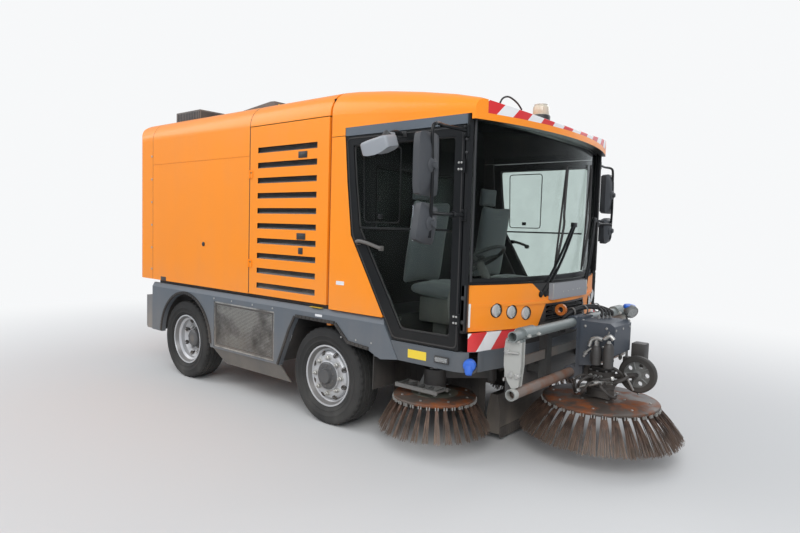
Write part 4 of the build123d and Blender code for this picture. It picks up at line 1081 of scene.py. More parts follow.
PANEL_R = (0.978 ** 2 + 0.222 ** 2) / (2 * 0.222)
for side, tag in SIDES:
    rims, bowls, lenses, leds = bmesh.new(), bmesh.new(), bmesh.new(), bmesh.new()
    for count, (y, z) in enumerate(((0.775, 1.0), (0.65, 0.985), (0.52, 0.97))):
        x = 1.745 - PANEL_R + math.sqrt(PANEL_R ** 2 - y * y)
        out = Vector((1, side * 0.33, 0)).normalized()
        centre = Vector((x - 0.012, side * y, z))
        add_turned(rims, centre, out,
                   [(0.0415, -0.02), (0.047, -0.004), (0.047, 0.012), (0.0435, 0.016), (0.040, 0.012),
                    (0.040, -0.018)], 36, True)
        add_turned(bowls, centre, out,
                   [(0.0, -0.016), (0.012, -0.015), (0.026, -0.008), (0.039, 0.006), (0.041, 0.005),
                    (0.03, -0.014), (0.0, -0.019)], 36)
        add_turned(lenses, centre, out,
                   [(0.0405, 0.006), (0.0405, 0.009), (0.03, 0.014), (0.015, 0.0165), (0, 0.017)], 36)
        if count == 0:
            for k in range(9):
                a = k * math.pi / 4.5
                spot = Vector((0, math.cos(a) * 0.024 * (k > 0), math.sin(a) * 0.024 * (k > 0)))
                add_turned(leds, centre + spot - out * 0.006, out,
                           [(0.007, -0.006), (0.007, 0.006), (0.004, 0.01), (0, 0.011)], 10)
        else:
            add_turned(leds, centre - out * 0.01, out,
                       [(0.011, -0.006), (0.011, 0.012), (0.005, 0.016), (0, 0.017)], 16)
    settle(rims, f"headlamp_rims_{tag}", "truck", satin_black)
    settle(bowls, f"headlamp_bowls_{tag}", "truck", reflector)
    settle(lenses, f"headlamp_lenses_{tag}", "truck", lens_clear)
    settle(leds, f"headlamp_bulbs_{tag}", "truck", amber_white)

bm = bmesh.new()
for k in range(8):
    z = 0.885 + 0.0165 * k
    half = 0.305 - 0.045 * (z - 0.87) / 0.13
    add_slab(bm, [(1.7215, -half, z), (1.7215, half, z), (1.728, half, z + 0.008), (1.728, -half, z + 0.008)],
             (0, 0, 1), 0.003)
for y in (-0.2, 0.0, 0.2):
    add_block(bm, (1.716, y - 0.004, 0.875), (1.7235, y + 0.004, 1.005), 0.001)
settle(bm, "front_grille_slats", "truck", black_plastic)
bm = bmesh.new()
for dy in (-0.12, -0.04, 0.04, 0.12, 0.16):
    add_turned(bm, (1.761, dy, 1.095 + 0.006 * (dy > 0)), (1, 0, 0),
               [(0.005, 0), (0.004, 0.002), (0, 0.0025)], 10)
for y in (-0.283, 0.283):
    add_block(bm, (1.745, y - 0.006, 1.05), (1.7635, y + 0.006, 1.158), 0.002)
settle(bm, "plate_rivets", "truck", zinc)

# Front bumper: slate painted steel with red and white hazard boards on its corners and a dark apron below.
# A marker lamp, a blank yellow label and the blue cap of a water inlet are fixed to its side.


def bumper_marks(tree):
    x, y, z = place_parts(tree)
    side = math_node(tree, "ABSOLUTE", y)
    along = math_node(tree, "SUBTRACT", x, side)
    red = stripe_mask(tree, along, math_node(tree, "MULTIPLY", z, -1.0), 0.32, 0.13)
    high_up = over(tree, z, 0.752)
    board = all_of(tree, high_up, over(tree, side, 0.55))
    between = all_of(tree, high_up, under(tree, side, 0.551))
    apron = under(tree, z, 0.6215)
    return [(mix_color(tree, red, WHITE, RED), board), ((0.02, 0.021, 0.023), between),
            ((0.035, 0.04, 0.045), apron)]


dress(painted("bumper_paint", (0.075, 0.09, 0.105), 0.45, 0.25, 0.9, bump=0.05, vary=0.1, marks=bumper_marks),
      "front_bumper")
bm = bmesh.new()
for side in (-1, 1):
    add_block(bm, (1.323, side * 1.0385, 0.66), (1.437, side * 1.0515, 0.705), 0.006)
settle(bm, "marker_lamps", "truck", black_plastic)
bm = bmesh.new()
for y in (-1.0525, 1.0525):
    add_centred(bm, (1.38, y, 0.6825), (0.047, 0.004, 0.0145), 0.004)
settle(bm, "marker_lenses", "truck", lens_clear)
bm = bmesh.new()
add_block(bm, (1.101, -1.0415, 0.654), (1.254, -1.0395, 0.71), 0.0005, 1)
settle(bm, "yellow_label", "truck", yellow)
blue_cap = painted("blue_cap_plastic", (0.012, 0.13, 0.62), 0.4, 0.25, 0.8, bump=0.08)
bm = bmesh.new()
add_turned(bm, (1.563, -1.0, 0.672), (0.35, -1, -0.1),
           [(0.038, -0.02), (0.041, 0.0), (0.038, 0.02), (0.02, 0.027), (0.0, 0.028)], 24)
add_turned(bm, (1.566, -1.01, 0.648), (0.2, -0.35, -1),
           [(0.03, -0.02), (0.028, 0.014), (0.02, 0.034), (0.01, 0.038), (0.0, 0.038)], 20)
settle(bm, "blue_hose_cap", "truck", blue_cap, 0.002)
bm = bmesh.new()
add_turned(bm, (1.535, -0.985, 0.662), (0.3, -1, 0.0),
           [(0.022, -0.03), (0.027, 0.0), (0.027, 0.018), (0.012, 0.03), (0, 0.03)], 16)
add_tube(bm, [(1.548, -0.955, 0.66), (1.595, -0.975, 0.655), (1.604, -1.0, 0.64),
              (1.58, -1.015, 0.622)], 0.009, 8, 5)
settle(bm, "hose_cap_holder", "truck", black_plastic)

# Side skirts: slate painted steel sheet, folded over at the top and screwed to the frame.
# The pans below the radiator mesh are painted a darker, browner grey, and blank labels are stuck on the right
# side.


def skirt_marks(tree):
    return [((0.1, 0.096, 0.09), box_mask(tree, (-1.25, side * 0.955, 0.2), (-0.1, side * 1.0385, 0.368)))
            for side in (-1, 1)]


skirt_paint = painted("skirt_paint", (0.098, 0.118, 0.14), 0.46, 0.3, 0.9, bump=0.05, vary=0.1,
                      marks=skirt_marks)
dress(skirt_paint, "skirts")
bm = bmesh.new()
for side in (-1, 1):
    for x in (-1.17, -0.9, -0.6, -0.33):
        add_turned(bm, (x, side * 1.0405, 0.825), (0, side, 0),
                   [(0.008, -0.002), (0.008, 0.002), (0.004, 0.004), (0, 0.004)], 10)
    for x in (0.47, 0.62, 0.77):
        add_turned(bm, (x, side * 1.0405, 0.7), (0, side, 0),
                   [(0.007, -0.002), (0.007, 0.002), (0, 0.003)], 10)
settle(bm, "skirt_screws", "truck", zinc)
bm = bmesh.new()
add_block(bm, (0.115, -1.0385, 0.8865), (0.245, -1.008, 0.8885), 0.0005, 1)
settle(bm, "yellow_edge_mark", "truck", yellow)
label_white = painted("white_label_blank", (0.78, 0.79, 0.8), 0.35, 0.25, 1.0)
bm = bmesh.new()
add_block(bm, (0.185, -1.0415, 0.822), (0.262, -1.0395, 0.84), 0.0005, 1)
add_block(bm, (0.405, -1.0412, 1.082), (0.487, -1.0395, 1.11), 0.0005, 1)
settle(bm, "white_labels", "truck", label_white)

# Wheel arch lips: black rubber extrusions with short ribs, pushed onto the edge of the skirts.
# The rear arch is round and the front one has straight sides; ribbed mudflaps hang behind the front wheels.
REAR_ARCH_X, REAR_ARCH_Z = -1.665, 0.385
dress(rubber_black, "rubber_trim")
ARCH_EDGE = [(-0.242, 0.371), (-0.106, 0.676), (-0.04, 0.785), (0.40, 0.785), (0.535, 0.662), (0.745, 0.645)]


def add_rib(bm, centre, along, out, half):
    turn = Matrix((along, Vector((0, 1, 0)), out)).transposed().to_4x4()
    add_centred(bm, centre, half, 0.0012, 1, turn)


for side, tag in SIDES:
    bm = bmesh.new()
    for (xa, za), (xb, zb) in zip(ARCH_EDGE[:-1], ARCH_EDGE[1:]):
        length = math.hypot(xb - xa, zb - za)
        along = Vector((xb - xa, 0, zb - za)) / length
        out = Vector((-along.z, 0, along.x))
        count = max(2, int(length / 0.042))
        for k in range(count):
            centre = Vector((xa, side * 1.049, za)) + along * (length * (k + 0.5) / count) + out * 0.012
            add_rib(bm, centre, along, out, (length / count * 0.36, 0.0035, 0.0085))
    for k in range(38):
        angle = math.radians(4 + 172 * (k + 0.5) / 38)
        out = Vector((math.cos(angle), 0, math.sin(angle)))
        along = Vector((-out.z, 0, out.x))
        centre = Vector((REAR_ARCH_X, side * 1.049, REAR_ARCH_Z)) + out * 0.443
        add_rib(bm, centre, along, out, (0.0125, 0.0035, 0.0095))
    settle(bm, f"arch_ribs_{tag}", "truck", rubber_black)
    bm = bmesh.new()
    for k in range(9):
        y = side * (0.772 + 0.0265 * k)
        add_rod(bm, (0.7585, y, 0.375), (0.7585, y, 0.63), 0.003, sides=6)
    for y in (0.79, 0.88, 0.97):
        add_turned(bm, (0.755, side * y, 0.626), (-1, 0, 0),
                   [(0.009, -0.002), (0.009, 0.004), (0.004, 0.006), (0, 0.006)], 6)
    settle(bm, f"mudflap_ribs_{tag}", "truck", rubber_black)

# Wheel housings, shade curtains and gap strip: black plastic liners over the wheels, clear of a steered tyre,
# black rubber sheets that hang from a rail behind the side brushes as painted shade under the truck,
# and a black strip, in lengths, that closes the gap between skirts and body as painted shade.
SHADE_CURTAIN_Y = 0.4
FRONT_LINER = [(-0.235, 0.4), (-0.1, 0.68), (-0.035, 0.792), (0.46, 0.792), (0.6, 0.715), (0.745, 0.655)]
REAR_LINER = [(REAR_ARCH_X + 0.449 * math.cos(a), REAR_ARCH_Z + 0.449 * math.sin(a))
              for a in (math.radians(4 + 8.6 * k) for k in range(21))]
for side, tag in SIDES:
    bm = bmesh.new()
    for outline, inner in ((FRONT_LINER, 0.62), (REAR_LINER, 0.72)):
        for (xa, za), (xb, zb) in zip(outline[:-1], outline[1:]):
            near, far = side * inner, side * 0.998
            add_slab(bm, [(xa, near, za), (xb, near, zb), (xb, far, zb), (xa, far, za)], (0, 0, 1), 0.004)
    settle(bm, f"wheel_housings_{tag}", "truck", black_plastic)
    # Painted shade: a black rubber sheet on a rail that darkens the space under the truck behind the side
    # brush.
    bm = bmesh.new()
    y = side * SHADE_CURTAIN_Y
    for k in range(15):
        x = 0.452 + 0.058 * k
        add_block(bm, (x, y - 0.003, 0.17), (x + 0.0575, y + 0.003, 0.5), 0.001, 1)
    add_block(bm, (0.442, y - 0.009, 0.475), (1.33, y + 0.009, 0.505), 0.003, 1)
    settle(bm, f"shade_curtain_{tag}", "truck", rubber_black)
    # Painted shade: black strips in lengths that close the bright gap between skirts and body.
    bm = bmesh.new()
    for k in range(16):
        x = -2.2 + 0.2 * k
        add_block(bm, (x, side * 0.985, 0.8835), (x + 0.1985, side * 1.005, 0.911), 0.003, 1)
    settle(bm, f"gap_shade_strip_{tag}", "truck", rubber_black)

# Radiator mesh: thin slanted aluminium slats and upright wires in a bright frame, clipped into the skirt.
# It is smudged black where road film sticks to it.
grille_alloy, tree, shader = new_material("smudged_aluminium_mesh", metallic=0.75)
smudge = remap(tree, noise_node(tree, 2.6, 6.0, 0.62), 0.44, 0.62)
alloy_shade = mix_color(tree, noise_node(tree, 40.0, 3.0), (0.4, 0.39, 0.36), (0.62, 0.61, 0.58))
smudged_alloy = mix_color(tree, smudge, alloy_shade, (0.06, 0.06, 0.062))
wire(tree, add_dust(tree, smudged_alloy, 0.55, 0.75)[0], shader.inputs["Base Color"])
wire(tree, remap(tree, smudge, 0.0, 1.0, 0.42, 0.75), shader.inputs["Roughness"])
dress(painted("mesh_backing", (0.06, 0.06, 0.06), 0.7, 0.5, 0.9, metallic=0.2, bump=0.3, grain=400.0),
      "mesh_panels")
MESH_LOW_X, MESH_HIGH_X, MESH_LOW_Z, MESH_HIGH_Z = -1.175, -0.308, 0.385, 0.8
SLATS, WIRES = 34, 76
for side, tag in SIDES:
    bm = bmesh.new()
    x0, x1 = MESH_LOW_X + 0.004, MESH_HIGH_X - 0.004
    inner, outer = side * 1.0245, side * 1.0325
    for k in range(SLATS):
        z = MESH_LOW_Z + 0.012 + (MESH_HIGH_Z - MESH_LOW_Z - 0.024) * k / (SLATS - 1)
        low, high = z - 0.0035, z + 0.002
        add_slab(bm, [(x0, inner, low), (x1, inner, low), (x1, outer, high), (x0, outer, high)],
                 (0, 0, 1), 0.0028)
    for k in range(WIRES):
        x = MESH_LOW_X + 0.008 + (MESH_HIGH_X - MESH_LOW_X - 0.016) * k / (WIRES - 1)
        add_block(bm, (x - 0.0015, side * 1.029, MESH_LOW_Z + 0.004),
                  (x + 0.0015, side * 1.031, MESH_HIGH_Z - 0.004))
    for x in (MESH_LOW_X + 0.006, MESH_HIGH_X - 0.006):
        add_block(bm, (x - 0.006, side * 1.032, MESH_LOW_Z + 0.002),
                  (x + 0.006, side * 1.036, MESH_HIGH_Z - 0.002),
                  0.0008, 1)
    for z in (MESH_LOW_Z + 0.007, MESH_HIGH_Z - 0.007):
        add_block(bm, (MESH_LOW_X + 0.002, side * 1.032, z - 0.006),
                  (MESH_HIGH_X - 0.002, side * 1.036, z + 0.006),
                  0.0008, 1)
    settle(bm, f"radiator_mesh_{tag}", "truck", grille_alloy)

# Tyres: moulded black rubber with ribs round the tread, slotted shoulders and raised rings on the sidewall.
# Each is fitted on its steel rim, and its sides are brown with road dust.
TYRE_R, SHOULDER_R, SLOT_DEEP = 0.372, 0.367, 0.008
WHEEL_Y, WHEEL_Z = 0.907, 0.372
FRONT_X, REAR_X = 0.285, -1.695
WHEELS = (("fr", -1, FRONT_X), ("fl", 1, FRONT_X), ("br", -1, REAR_X), ("bl", 1, REAR_X))
tyre_rubber = painted("tyre_rubber", (0.015, 0.015, 0.0155), 0.8, 0.3, 0.85, bump=0.25, grain=90.0, vary=0.2,
                      dust_color=(0.13, 0.125, 0.115), gloss=0.35)
TREAD = [(-0.088, 0), (-0.0655, 0), (-0.063, -0.009), (-0.057, -0.009), (-0.0545, 0), (-0.022, 0.0),
         (-0.0195, -0.009),
         (-0.0135, -0.009), (-0.011, 0)]
TREAD += [(-u, drop) for u, drop in TREAD[::-1]]
SIDEWALL = [(0.2225, -0.08), (0.236, -0.08), (0.240, -0.09), (0.249, -0.0985), (0.262, -0.1045),
            (0.2645, -0.1075),
            (0.272, -0.1075), (0.2745, -0.1065), (0.3, -0.1115), (0.303, -0.1135), (0.3085, -0.1135),
            (0.3115, -0.1112),
            (0.33, -0.109), (0.345, -0.107), (0.3545, -0.1035), (0.3625, -0.0985)]
for tag, side, x in WHEELS:
    bm = bmesh.new()
    rows = []
    for step, angle in enumerate(turns(120)):
        slot = step % 3 == 0
        shoulder = SHOULDER_R - (SLOT_DEEP if slot else 0.0)
        ring = SIDEWALL + [(shoulder, -0.094)]
        for u, drop in TREAD:
            edge = slot and abs(u) > 0.06
            ring.append((TYRE_R + min(drop, -SLOT_DEEP if edge else 0.0), u))
        ring += [(shoulder, 0.094)] + [(r, -u) for r, u in SIDEWALL[::-1]]
        rows.append([bm.verts.new((x + r * math.cos(angle), side * (WHEEL_Y + u),
                                   WHEEL_Z + r * math.sin(angle)))
                     for r, u in ring])
    for now, after in zip(rows, rows[1:] + rows[:1]):
        for k in range(len(now)):
            n = (k + 1) % len(now)
            bm.faces.new((now[k], after[k], after[n], now[n]))
    tyre = settle(bm, f"tyre_form_{tag}", f"wheel_{tag}", tyre_rubber, smooth_angle=28)
    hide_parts(f"tyre_{tag}")

# Wheel discs: pressed steel painted silver, held by eight plated nuts on studs, with brake dust near the hub.
# The cast grey hub has its own ring of bolts and a cap, and small hand holes lie near the rim.


def wheel_marks(x0):
    def marks(tree):
        x, y, z = place_parts(tree)
        reach = reach_of(tree, math_node(tree, "SUBTRACT", x, x0), math_node(tree, "SUBTRACT", z, WHEEL_Z))
        seat = all_of(tree, over(tree, reach, 0.205), under(tree, reach, 0.222))
        dirt = all_of(tree, remap(tree, noise_node(tree, 14.0, 5.0), 0.45, 0.7),
                      remap(tree, reach, 0.2, 0.11, 0.0, 0.75))
        hub = under(tree, reach, 0.106)
        return [((0.3, 0.29, 0.28), dirt), ((0.085, 0.09, 0.095), hub), ((0.2, 0.2, 0.2), seat)]
    return marks


def on_wheel(x, side, u, r, angle):
    return Vector((x + r * math.cos(angle), side * (WHEEL_Y + u), WHEEL_Z + r * math.sin(angle)))


for ends, x0 in ((("rim_fr", "rim_fl"), FRONT_X), (("rim_br", "rim_bl"), REAR_X)):
    dress(painted(f"silver_wheel_paint_{ends[0]}", (0.56, 0.57, 0.585), 0.34, 0.15, 0.8,
                  metallic=0.3, bump=0.04,
                  marks=wheel_marks(x0)), *ends)
hub_grey = painted("hub_grey_casting", (0.11, 0.115, 0.12), 0.5, 0.4, 0.8, metallic=0.4, bump=0.15, vary=0.2)
for tag, side, x in WHEELS:
    front = x == FRONT_X
    way = Vector((0, side, 0))
    bm = bmesh.new()
    for angle in turns(8):
        base = on_wheel(x, side, 0.0725 if front else -0.0445, 0.1375, angle)
        add_turned(bm, base, way, [(0.0215, -0.002), (0.0215, 0.003), (0.018, 0.005)], 16)
        add_turned(bm, base, way, [(0.0175, 0.003), (0.0175, 0.024), (0.0145, 0.027), (0.0, 0.027)], 6)
        add_turned(bm, base, way, [(0.0095, 0.02), (0.0095, 0.036), (0.007, 0.039), (0.0, 0.039)], 10)
    settle(bm, f"wheel_nuts_{tag}", f"wheel_{tag}", zinc)
    bm = bmesh.new()
    hub_r, hub_u, cap_u = (0.079, 0.0975, 0.1195) if front else (0.096, -0.0265, 0.0345)
    for angle in turns(10, 0.5):
        add_turned(bm, on_wheel(x, side, hub_u, hub_r, angle), way,
                   [(0.0085, -0.006), (0.0085, 0.004), (0.004, 0.0055), (0.0, 0.0055)], 6)
    add_turned(bm, (x, side * (WHEEL_Y + cap_u), WHEEL_Z), way,
               [(0.05, -0.02), (0.0505, -0.003), (0.045, 0.001), (0.02, 0.0022), (0.0, 0.0024)], 28)
    settle(bm, f"hub_bolts_{tag}", f"wheel_{tag}", hub_grey)
    bm = bmesh.new()
    hole_r, hole_u, slope = (0.1735, 0.0675, 0.7) if front else (0.171, 0.0, -0.35)
    for angle in turns(8, 0.5):
        tilt = (Vector((math.cos(angle), 0, math.sin(angle))) * slope + way).normalized()
        add_turned(bm, on_wheel(x, side, hole_u, hole_r, angle), tilt,
                   [(0.0135, -0.012), (0.0215, 0.0005), (0.0205, 0.002), (0.014, -0.003), (0.0, -0.004)], 20)
    settle(bm, f"hand_holes_{tag}", f"wheel_{tag}", rubber_black)

# Chassis, axles and engine: a welded steel ladder frame and forged axles in black paint,
# and a cast iron engine block between the rails, all under a film of grey-brown road dirt.
frame_paint = painted("frame_paint", (0.022, 0.022, 0.023), 0.6, 0.85, 1.0, bump=0.15, grain=80.0, vary=0.2,
                      dust_color=(0.16, 0.14, 0.12))
dress(frame_paint, "chassis_frame", "knuckle_r", "knuckle_l")
cast_grey = painted("engine_casting", (0.09, 0.092, 0.095), 0.55, 0.6, 1.2, metallic=0.3, bump=0.3,
                    grain=50.0, vary=0.25)
dress(cast_grey, "engine_block")

# Side brush arms: a black steel swing arm with a hydraulic motor bolted on its end, fed by two rubber hoses.
# A ladder-shaped guide of worn grey steel lies over the arm.
BRUSH_X, BRUSH_Y = 1.125, 0.755
worn_grey = painted("worn_grey_steel", (0.17, 0.175, 0.17), 0.55, 0.2, 0.8, metallic=0.3, bump=0.2, vary=0.25)


def arm_marks(tree):
    return [((0.16, 0.16, 0.155), box_mask(tree, (0.9, side * 0.79, 0.4), (1.28, side * 0.94, 0.4315)))
            for side in (-1, 1)]


dress(painted("side_arm_paint", (0.02, 0.02, 0.021), 0.5, 0.25, 0.9, bump=0.1, vary=0.2, marks=arm_marks),
      "side_arm_r", "side_arm_l")
for side, tag in SIDES:
    bm = bmesh.new()
    for x in (0.912, 0.99, 1.07, 1.15, 1.235):
        add_block(bm, (x, side * 0.8, 0.4235), (x + 0.02, side * 0.93, 0.4285), 0.001, 1)
        for y in (0.807, 0.923):
            add_turned(bm, (x + 0.01, side * y, 0.43), (0, 0, 1),
                       [(0.008, -0.001), (0.008, 0.004), (0.0, 0.0055)], 6)
    add_slab(bm, [(1.03, side * 0.8, 0.43), (1.07, side * 0.8, 0.43), (1.085, side * 0.79, 0.5),
                  (1.06, side * 0.79, 0.5)],
             (0, side, 0), 0.006)
    settle(bm, f"guide_ladder_{tag}", f"arm_{tag}", worn_grey)
    bm = bmesh.new()
    for dx, dy in ((0.045, 0.0), (-0.045, 0.0), (0.0, 0.045), (0.0, -0.045)):
        add_turned(bm, (BRUSH_X + dx, side * BRUSH_Y + dy, 0.54), (0, 0, 1),
                   [(0.011, -0.002), (0.011, 0.007), (0.0, 0.009)], 6)
    add_turned(bm, (BRUSH_X, side * BRUSH_Y, 0.54), (0, 0, 1),
               [(0.034, -0.01), (0.034, 0.01), (0.024, 0.018), (0.0, 0.018)], 24)
    for dx in (-0.018, 0.02):
        add_turned(bm, (BRUSH_X + dx, side * 0.69, 0.505), (0, -side, 0.25),
                   [(0.014, -0.01), (0.014, 0.02), (0.01, 0.024), (0.01, 0.04), (0.0, 0.04)], 6)
    settle(bm, f"side_motor_fittings_{tag}", f"arm_{tag}", zinc)
    bm = bmesh.new()
    for shift in (0.0, 0.03):
        add_tube(bm, [(1.107 + shift, side * 0.66, 0.512), (1.13 + shift, side * 0.62, 0.54),
                      (1.22 + shift, side * 0.575, 0.556), (1.33 + shift, side * 0.52, 0.55),
                      (1.39 + shift * 0.4, side * 0.505, 0.535)], 0.009, 10, 6)
    settle(bm, f"side_motor_hoses_{tag}", f"arm_{tag}", rubber_black)

# Brushes: a rusted steel disc with two rings of bolts, the side ones with a pale worn middle.
# Bundles of brown steel wire are held to its edge by bright clips and splay down and outwards to the road.
HEAD_X = 2.015
rusty_disc, tree, shader = new_material("rusty_brush_disc", metallic=0.25)
rust_cover = remap(tree, noise_node(tree, 5.5, 8.0, 0.62), 0.46, 0.62)
rust_shade = mix_color(tree, noise_node(tree, 24.0, 4.0), (0.17, 0.048, 0.015), (0.36, 0.115, 0.034))
steel_shade = mix_color(tree, noise_node(tree, 9.0, 4.0), (0.05, 0.042, 0.036), (0.14, 0.11, 0.09))
x, y, z = place_parts(tree)
off_x = math_node(tree, "SUBTRACT", x, BRUSH_X)
off_y = math_node(tree, "SUBTRACT", math_node(tree, "ABSOLUTE", y), BRUSH_Y)
reach = reach_of(tree, off_x, off_y)
pale_ring = all_of(tree, under(tree, reach, 0.165), 0.75)
rust_and_steel = mix_color(tree, rust_cover, steel_shade, rust_shade)
wire(tree, mix_color(tree, pale_ring, rust_and_steel, (0.2, 0.215, 0.17)), shader.inputs["Base Color"])
wire(tree, remap(tree, rust_cover, 0.0, 1.0, 0.45, 0.85), shader.inputs["Roughness"])
add_bump(tree, shader, noise_node(tree, 90.0, 5.0), 0.4, 0.002)
brown_wire, tree, shader = new_material("brown_steel_wire", metallic=0.35)
strand = noise_node(tree, 26.0, 4.0, stretch=(1, 1, 0.2))
wire_shade = mix_color(tree, remap(tree, strand, 0.35, 0.65), (0.03, 0.017, 0.012), (0.14, 0.08, 0.054))
worn_tip = remap(tree, place_parts(tree)[2], 0.3, 0.13)
wire(tree, mix_color(tree, math_node(tree, "MULTIPLY", worn_tip, 0.35), wire_shade, (0.3, 0.24, 0.19)),
     shader.inputs["Base Color"])
shader.inputs["Roughness"].default_value = 0.5
chooser = random.Random(11)


def wire_strand(bm, start, end, sag, width, thick, across_way):
    rows = []
    steps = 4
    side_way = across_way.normalized()
    up_way = (end - start).normalized().cross(side_way).normalized()
    for k in range(steps + 1):
        t = k / steps
        point = start.lerp(end, t) + Vector((0, 0, sag * math.sin(math.pi * t)))
        half_w, half_t = width / 2 * (1 - 0.25 * t), thick / 2
        rows.append([bm.verts.new(point + side_way * a * half_w + up_way * b * half_t)
                     for a, b in ((-1, -1), (1, -1), (1, 1), (-1, 1))])
    skin_rings(bm, rows)


for node, body, centre, disc_r, tip_r, bundles, wires, spread in (
        ("front_brush", "front_brush_body", (HEAD_X, 0.0), 0.395, 0.55, 36, 26, 0.088),
        ("side_brush_r", "brush_r", (BRUSH_X, -BRUSH_Y), 0.29, 0.395, 32, 16, 0.042),
        ("side_brush_l", "brush_l", (BRUSH_X, BRUSH_Y), 0.29, 0.395, 32, 16, 0.042)):
    cx, cy = centre
    root_w, wire_w = (0.030, 0.0046) if disc_r > 0.3 else (0.015, 0.0042)
    bm = bmesh.new()
    add_turned(bm, (cx, cy, 0), (0, 0, 1),
               [(0.0206, 0.335), (disc_r - 0.008, 0.335), (disc_r - 0.001, 0.341), (disc_r, 0.345),
                (disc_r, 0.353), (disc_r - 0.003, 0.357), (disc_r - 0.014, 0.361), (disc_r * 0.74, 0.3665),
                (disc_r * 0.56, 0.3715), (disc_r * 0.5, 0.3718), (0.1, 0.3712), (0.0206, 0.3712)], 72, True)
    plate = settle(bm, f"{node}_disc", body, rusty_disc, smooth_angle=30)
    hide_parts(node)
    bm = bmesh.new()
    for a in turns(8, 0.3):
        r = disc_r * 0.83
        add_turned(bm, (cx + r * math.cos(a), cy + r * math.sin(a), 0.363), (0, 0, 1),
                   [(0.009, -0.002), (0.009, 0.006), (0.005, 0.0085), (0, 0.0085)], 6)
    for a in turns(6, 0.1):
        r = disc_r * 0.42
        add_turned(bm, (cx + r * math.cos(a), cy + r * math.sin(a), 0.3712), (0, 0, 1),
                   [(0.009, -0.001), (0.009, 0.006), (0.0, 0.0075)], 6)
    for a in turns(bundles, 0.5):
        turn = Matrix.Rotation(a, 4, "Z")
        r = disc_r - 0.006
        mid = Vector((cx + r * math.cos(a), cy + r * math.sin(a), 0.333))
        for shift in (-0.009, 0.009):
            add_centred(bm, mid + turn @ Vector((0.004, shift, 0)), (0.008, 0.003, 0.011), 0.001, 1, turn)
    settle(bm, f"{node}_bolts_and_clips", body, zinc)
    bm = bmesh.new()
    for a in turns(bundles, 0.5):
        out = Vector((math.cos(a), math.sin(a), 0))
        along = Vector((-out.y, out.x, 0))
        for w in range(wires):
            share = (w + 0.5) / wires * 2 - 1
            share += chooser.uniform(-0.05, 0.05)
            layer = (w % 3 - 1) * 0.006
            start = Vector((cx, cy, 0.338)) + out * (disc_r - 0.024 + layer) + along * share * root_w / 2
            reach = tip_r - 0.012 + chooser.uniform(-0.014, 0.008) + layer * 1.5
            low = 0.124 + chooser.uniform(-0.003, 0.016)
            aside = share * spread / 2 + chooser.uniform(-0.006, 0.006)
            end = Vector((cx, cy, low)) + out * reach + along * aside
            wire_strand(bm, start, end, 0.012 + chooser.uniform(-0.004, 0.008), wire_w, 0.0022, along)
    settle(bm, f"{node}_wires", body, brown_wire, smooth_angle=40)

# Front brush beam: two steel cross tubes in weathered grey-green, the lower one rusty, and a flat bar.
# They sit in brackets of light grey plate, bolted to the truck, and are clamped by bolted saddles.


def beam_marks(tree):
    x, y, z = place_parts(tree)
    side = math_node(tree, "ABSOLUTE", y)
    worn = remap(tree, noise_node(tree, 7.0, 6.0), 0.42, 0.6)
    patchy = math_node(tree, "MULTIPLY_ADD", worn, 0.5, 0.5)
    rust = all_of(tree, under(tree, z, 0.5605), over(tree, x, 1.79), under(tree, side, 0.91), patchy)
    plates = all_of(tree, over(tree, side, 0.8675), under(tree, side, 0.9175), over(tree, z, 0.562),
                    under(tree, z, 0.846))
    flat = box_mask(tree, (1.7785, -0.871, 0.6665), (1.7915, 0.871, 0.7275))
    flat_shade = mix_color(tree, worn, (0.1, 0.105, 0.102), (0.125, 0.108, 0.095))
    post = box_mask(tree, (1.4, -0.44, 0.5), (1.806, 0.44, 0.91))
    return [((0.2, 0.085, 0.045), rust), ((0.42, 0.425, 0.4), plates), ((0.022, 0.024, 0.024), post),
            (flat_shade, flat)]


dress(painted("beam_paint", (0.2, 0.225, 0.22), 0.5, 0.28, 0.9, metallic=0.15, bump=0.12, vary=0.15,
              marks=beam_marks),
      "front_beam")
pale_plate = painted("light_grey_bracket", (0.42, 0.425, 0.4), 0.5, 0.35, 0.8, metallic=0.2,
                     bump=0.12, vary=0.12)
for side, tag in SIDES:
    bm = bmesh.new()
    for x, z, r in ((1.775, 0.78, 0.018), (1.85, 0.64, 0.016), (1.778, 0.85, 0.009), (1.852, 0.85, 0.009),
                    (1.804, 0.643, 0.019)):
        add_turned(bm, (x, side * 0.9172, z), (0, side, 0),
                   [(r * 1.25, -0.001), (r * 1.25, 0.002), (r, 0.003), (r, 0.011), (r * 0.8, 0.013),
                    (0, 0.013)], 6)
    add_rod(bm, (1.768, side * 0.925, 0.775), (1.858, side * 0.925, 0.782), 0.006, sides=10)
    add_block(bm, (1.757, side * 0.8575, 0.598), (1.7665, side * 0.9275, 0.618), 0.002)
    settle(bm, f"bracket_bolts_{tag}", "truck", zinc)
    bm = bmesh.new()
    for y in (0.712, 0.838):
        for dx in (-0.052, 0.052):
            add_centred(bm, (1.825 + dx, side * y, 0.878), (0.011, 0.013, 0.006), 0.003)
            add_turned(bm, (1.825 + dx, side * y, 0.884), (0, 0, 1),
                       [(0.008, -0.001), (0.008, 0.006), (0, 0.007)], 6)
    add_turned(bm, (1.825, side * 0.9495, 0.525), (0, side, 0),
               [(0.0265, -0.04), (0.0265, 0.0), (0.0345, 0.0), (0.0355, -0.004), (0.0355, -0.045),
                (0.0332, -0.047)], 32, True)
    settle(bm, f"tube_ends_{tag}", "truck", pale_plate)

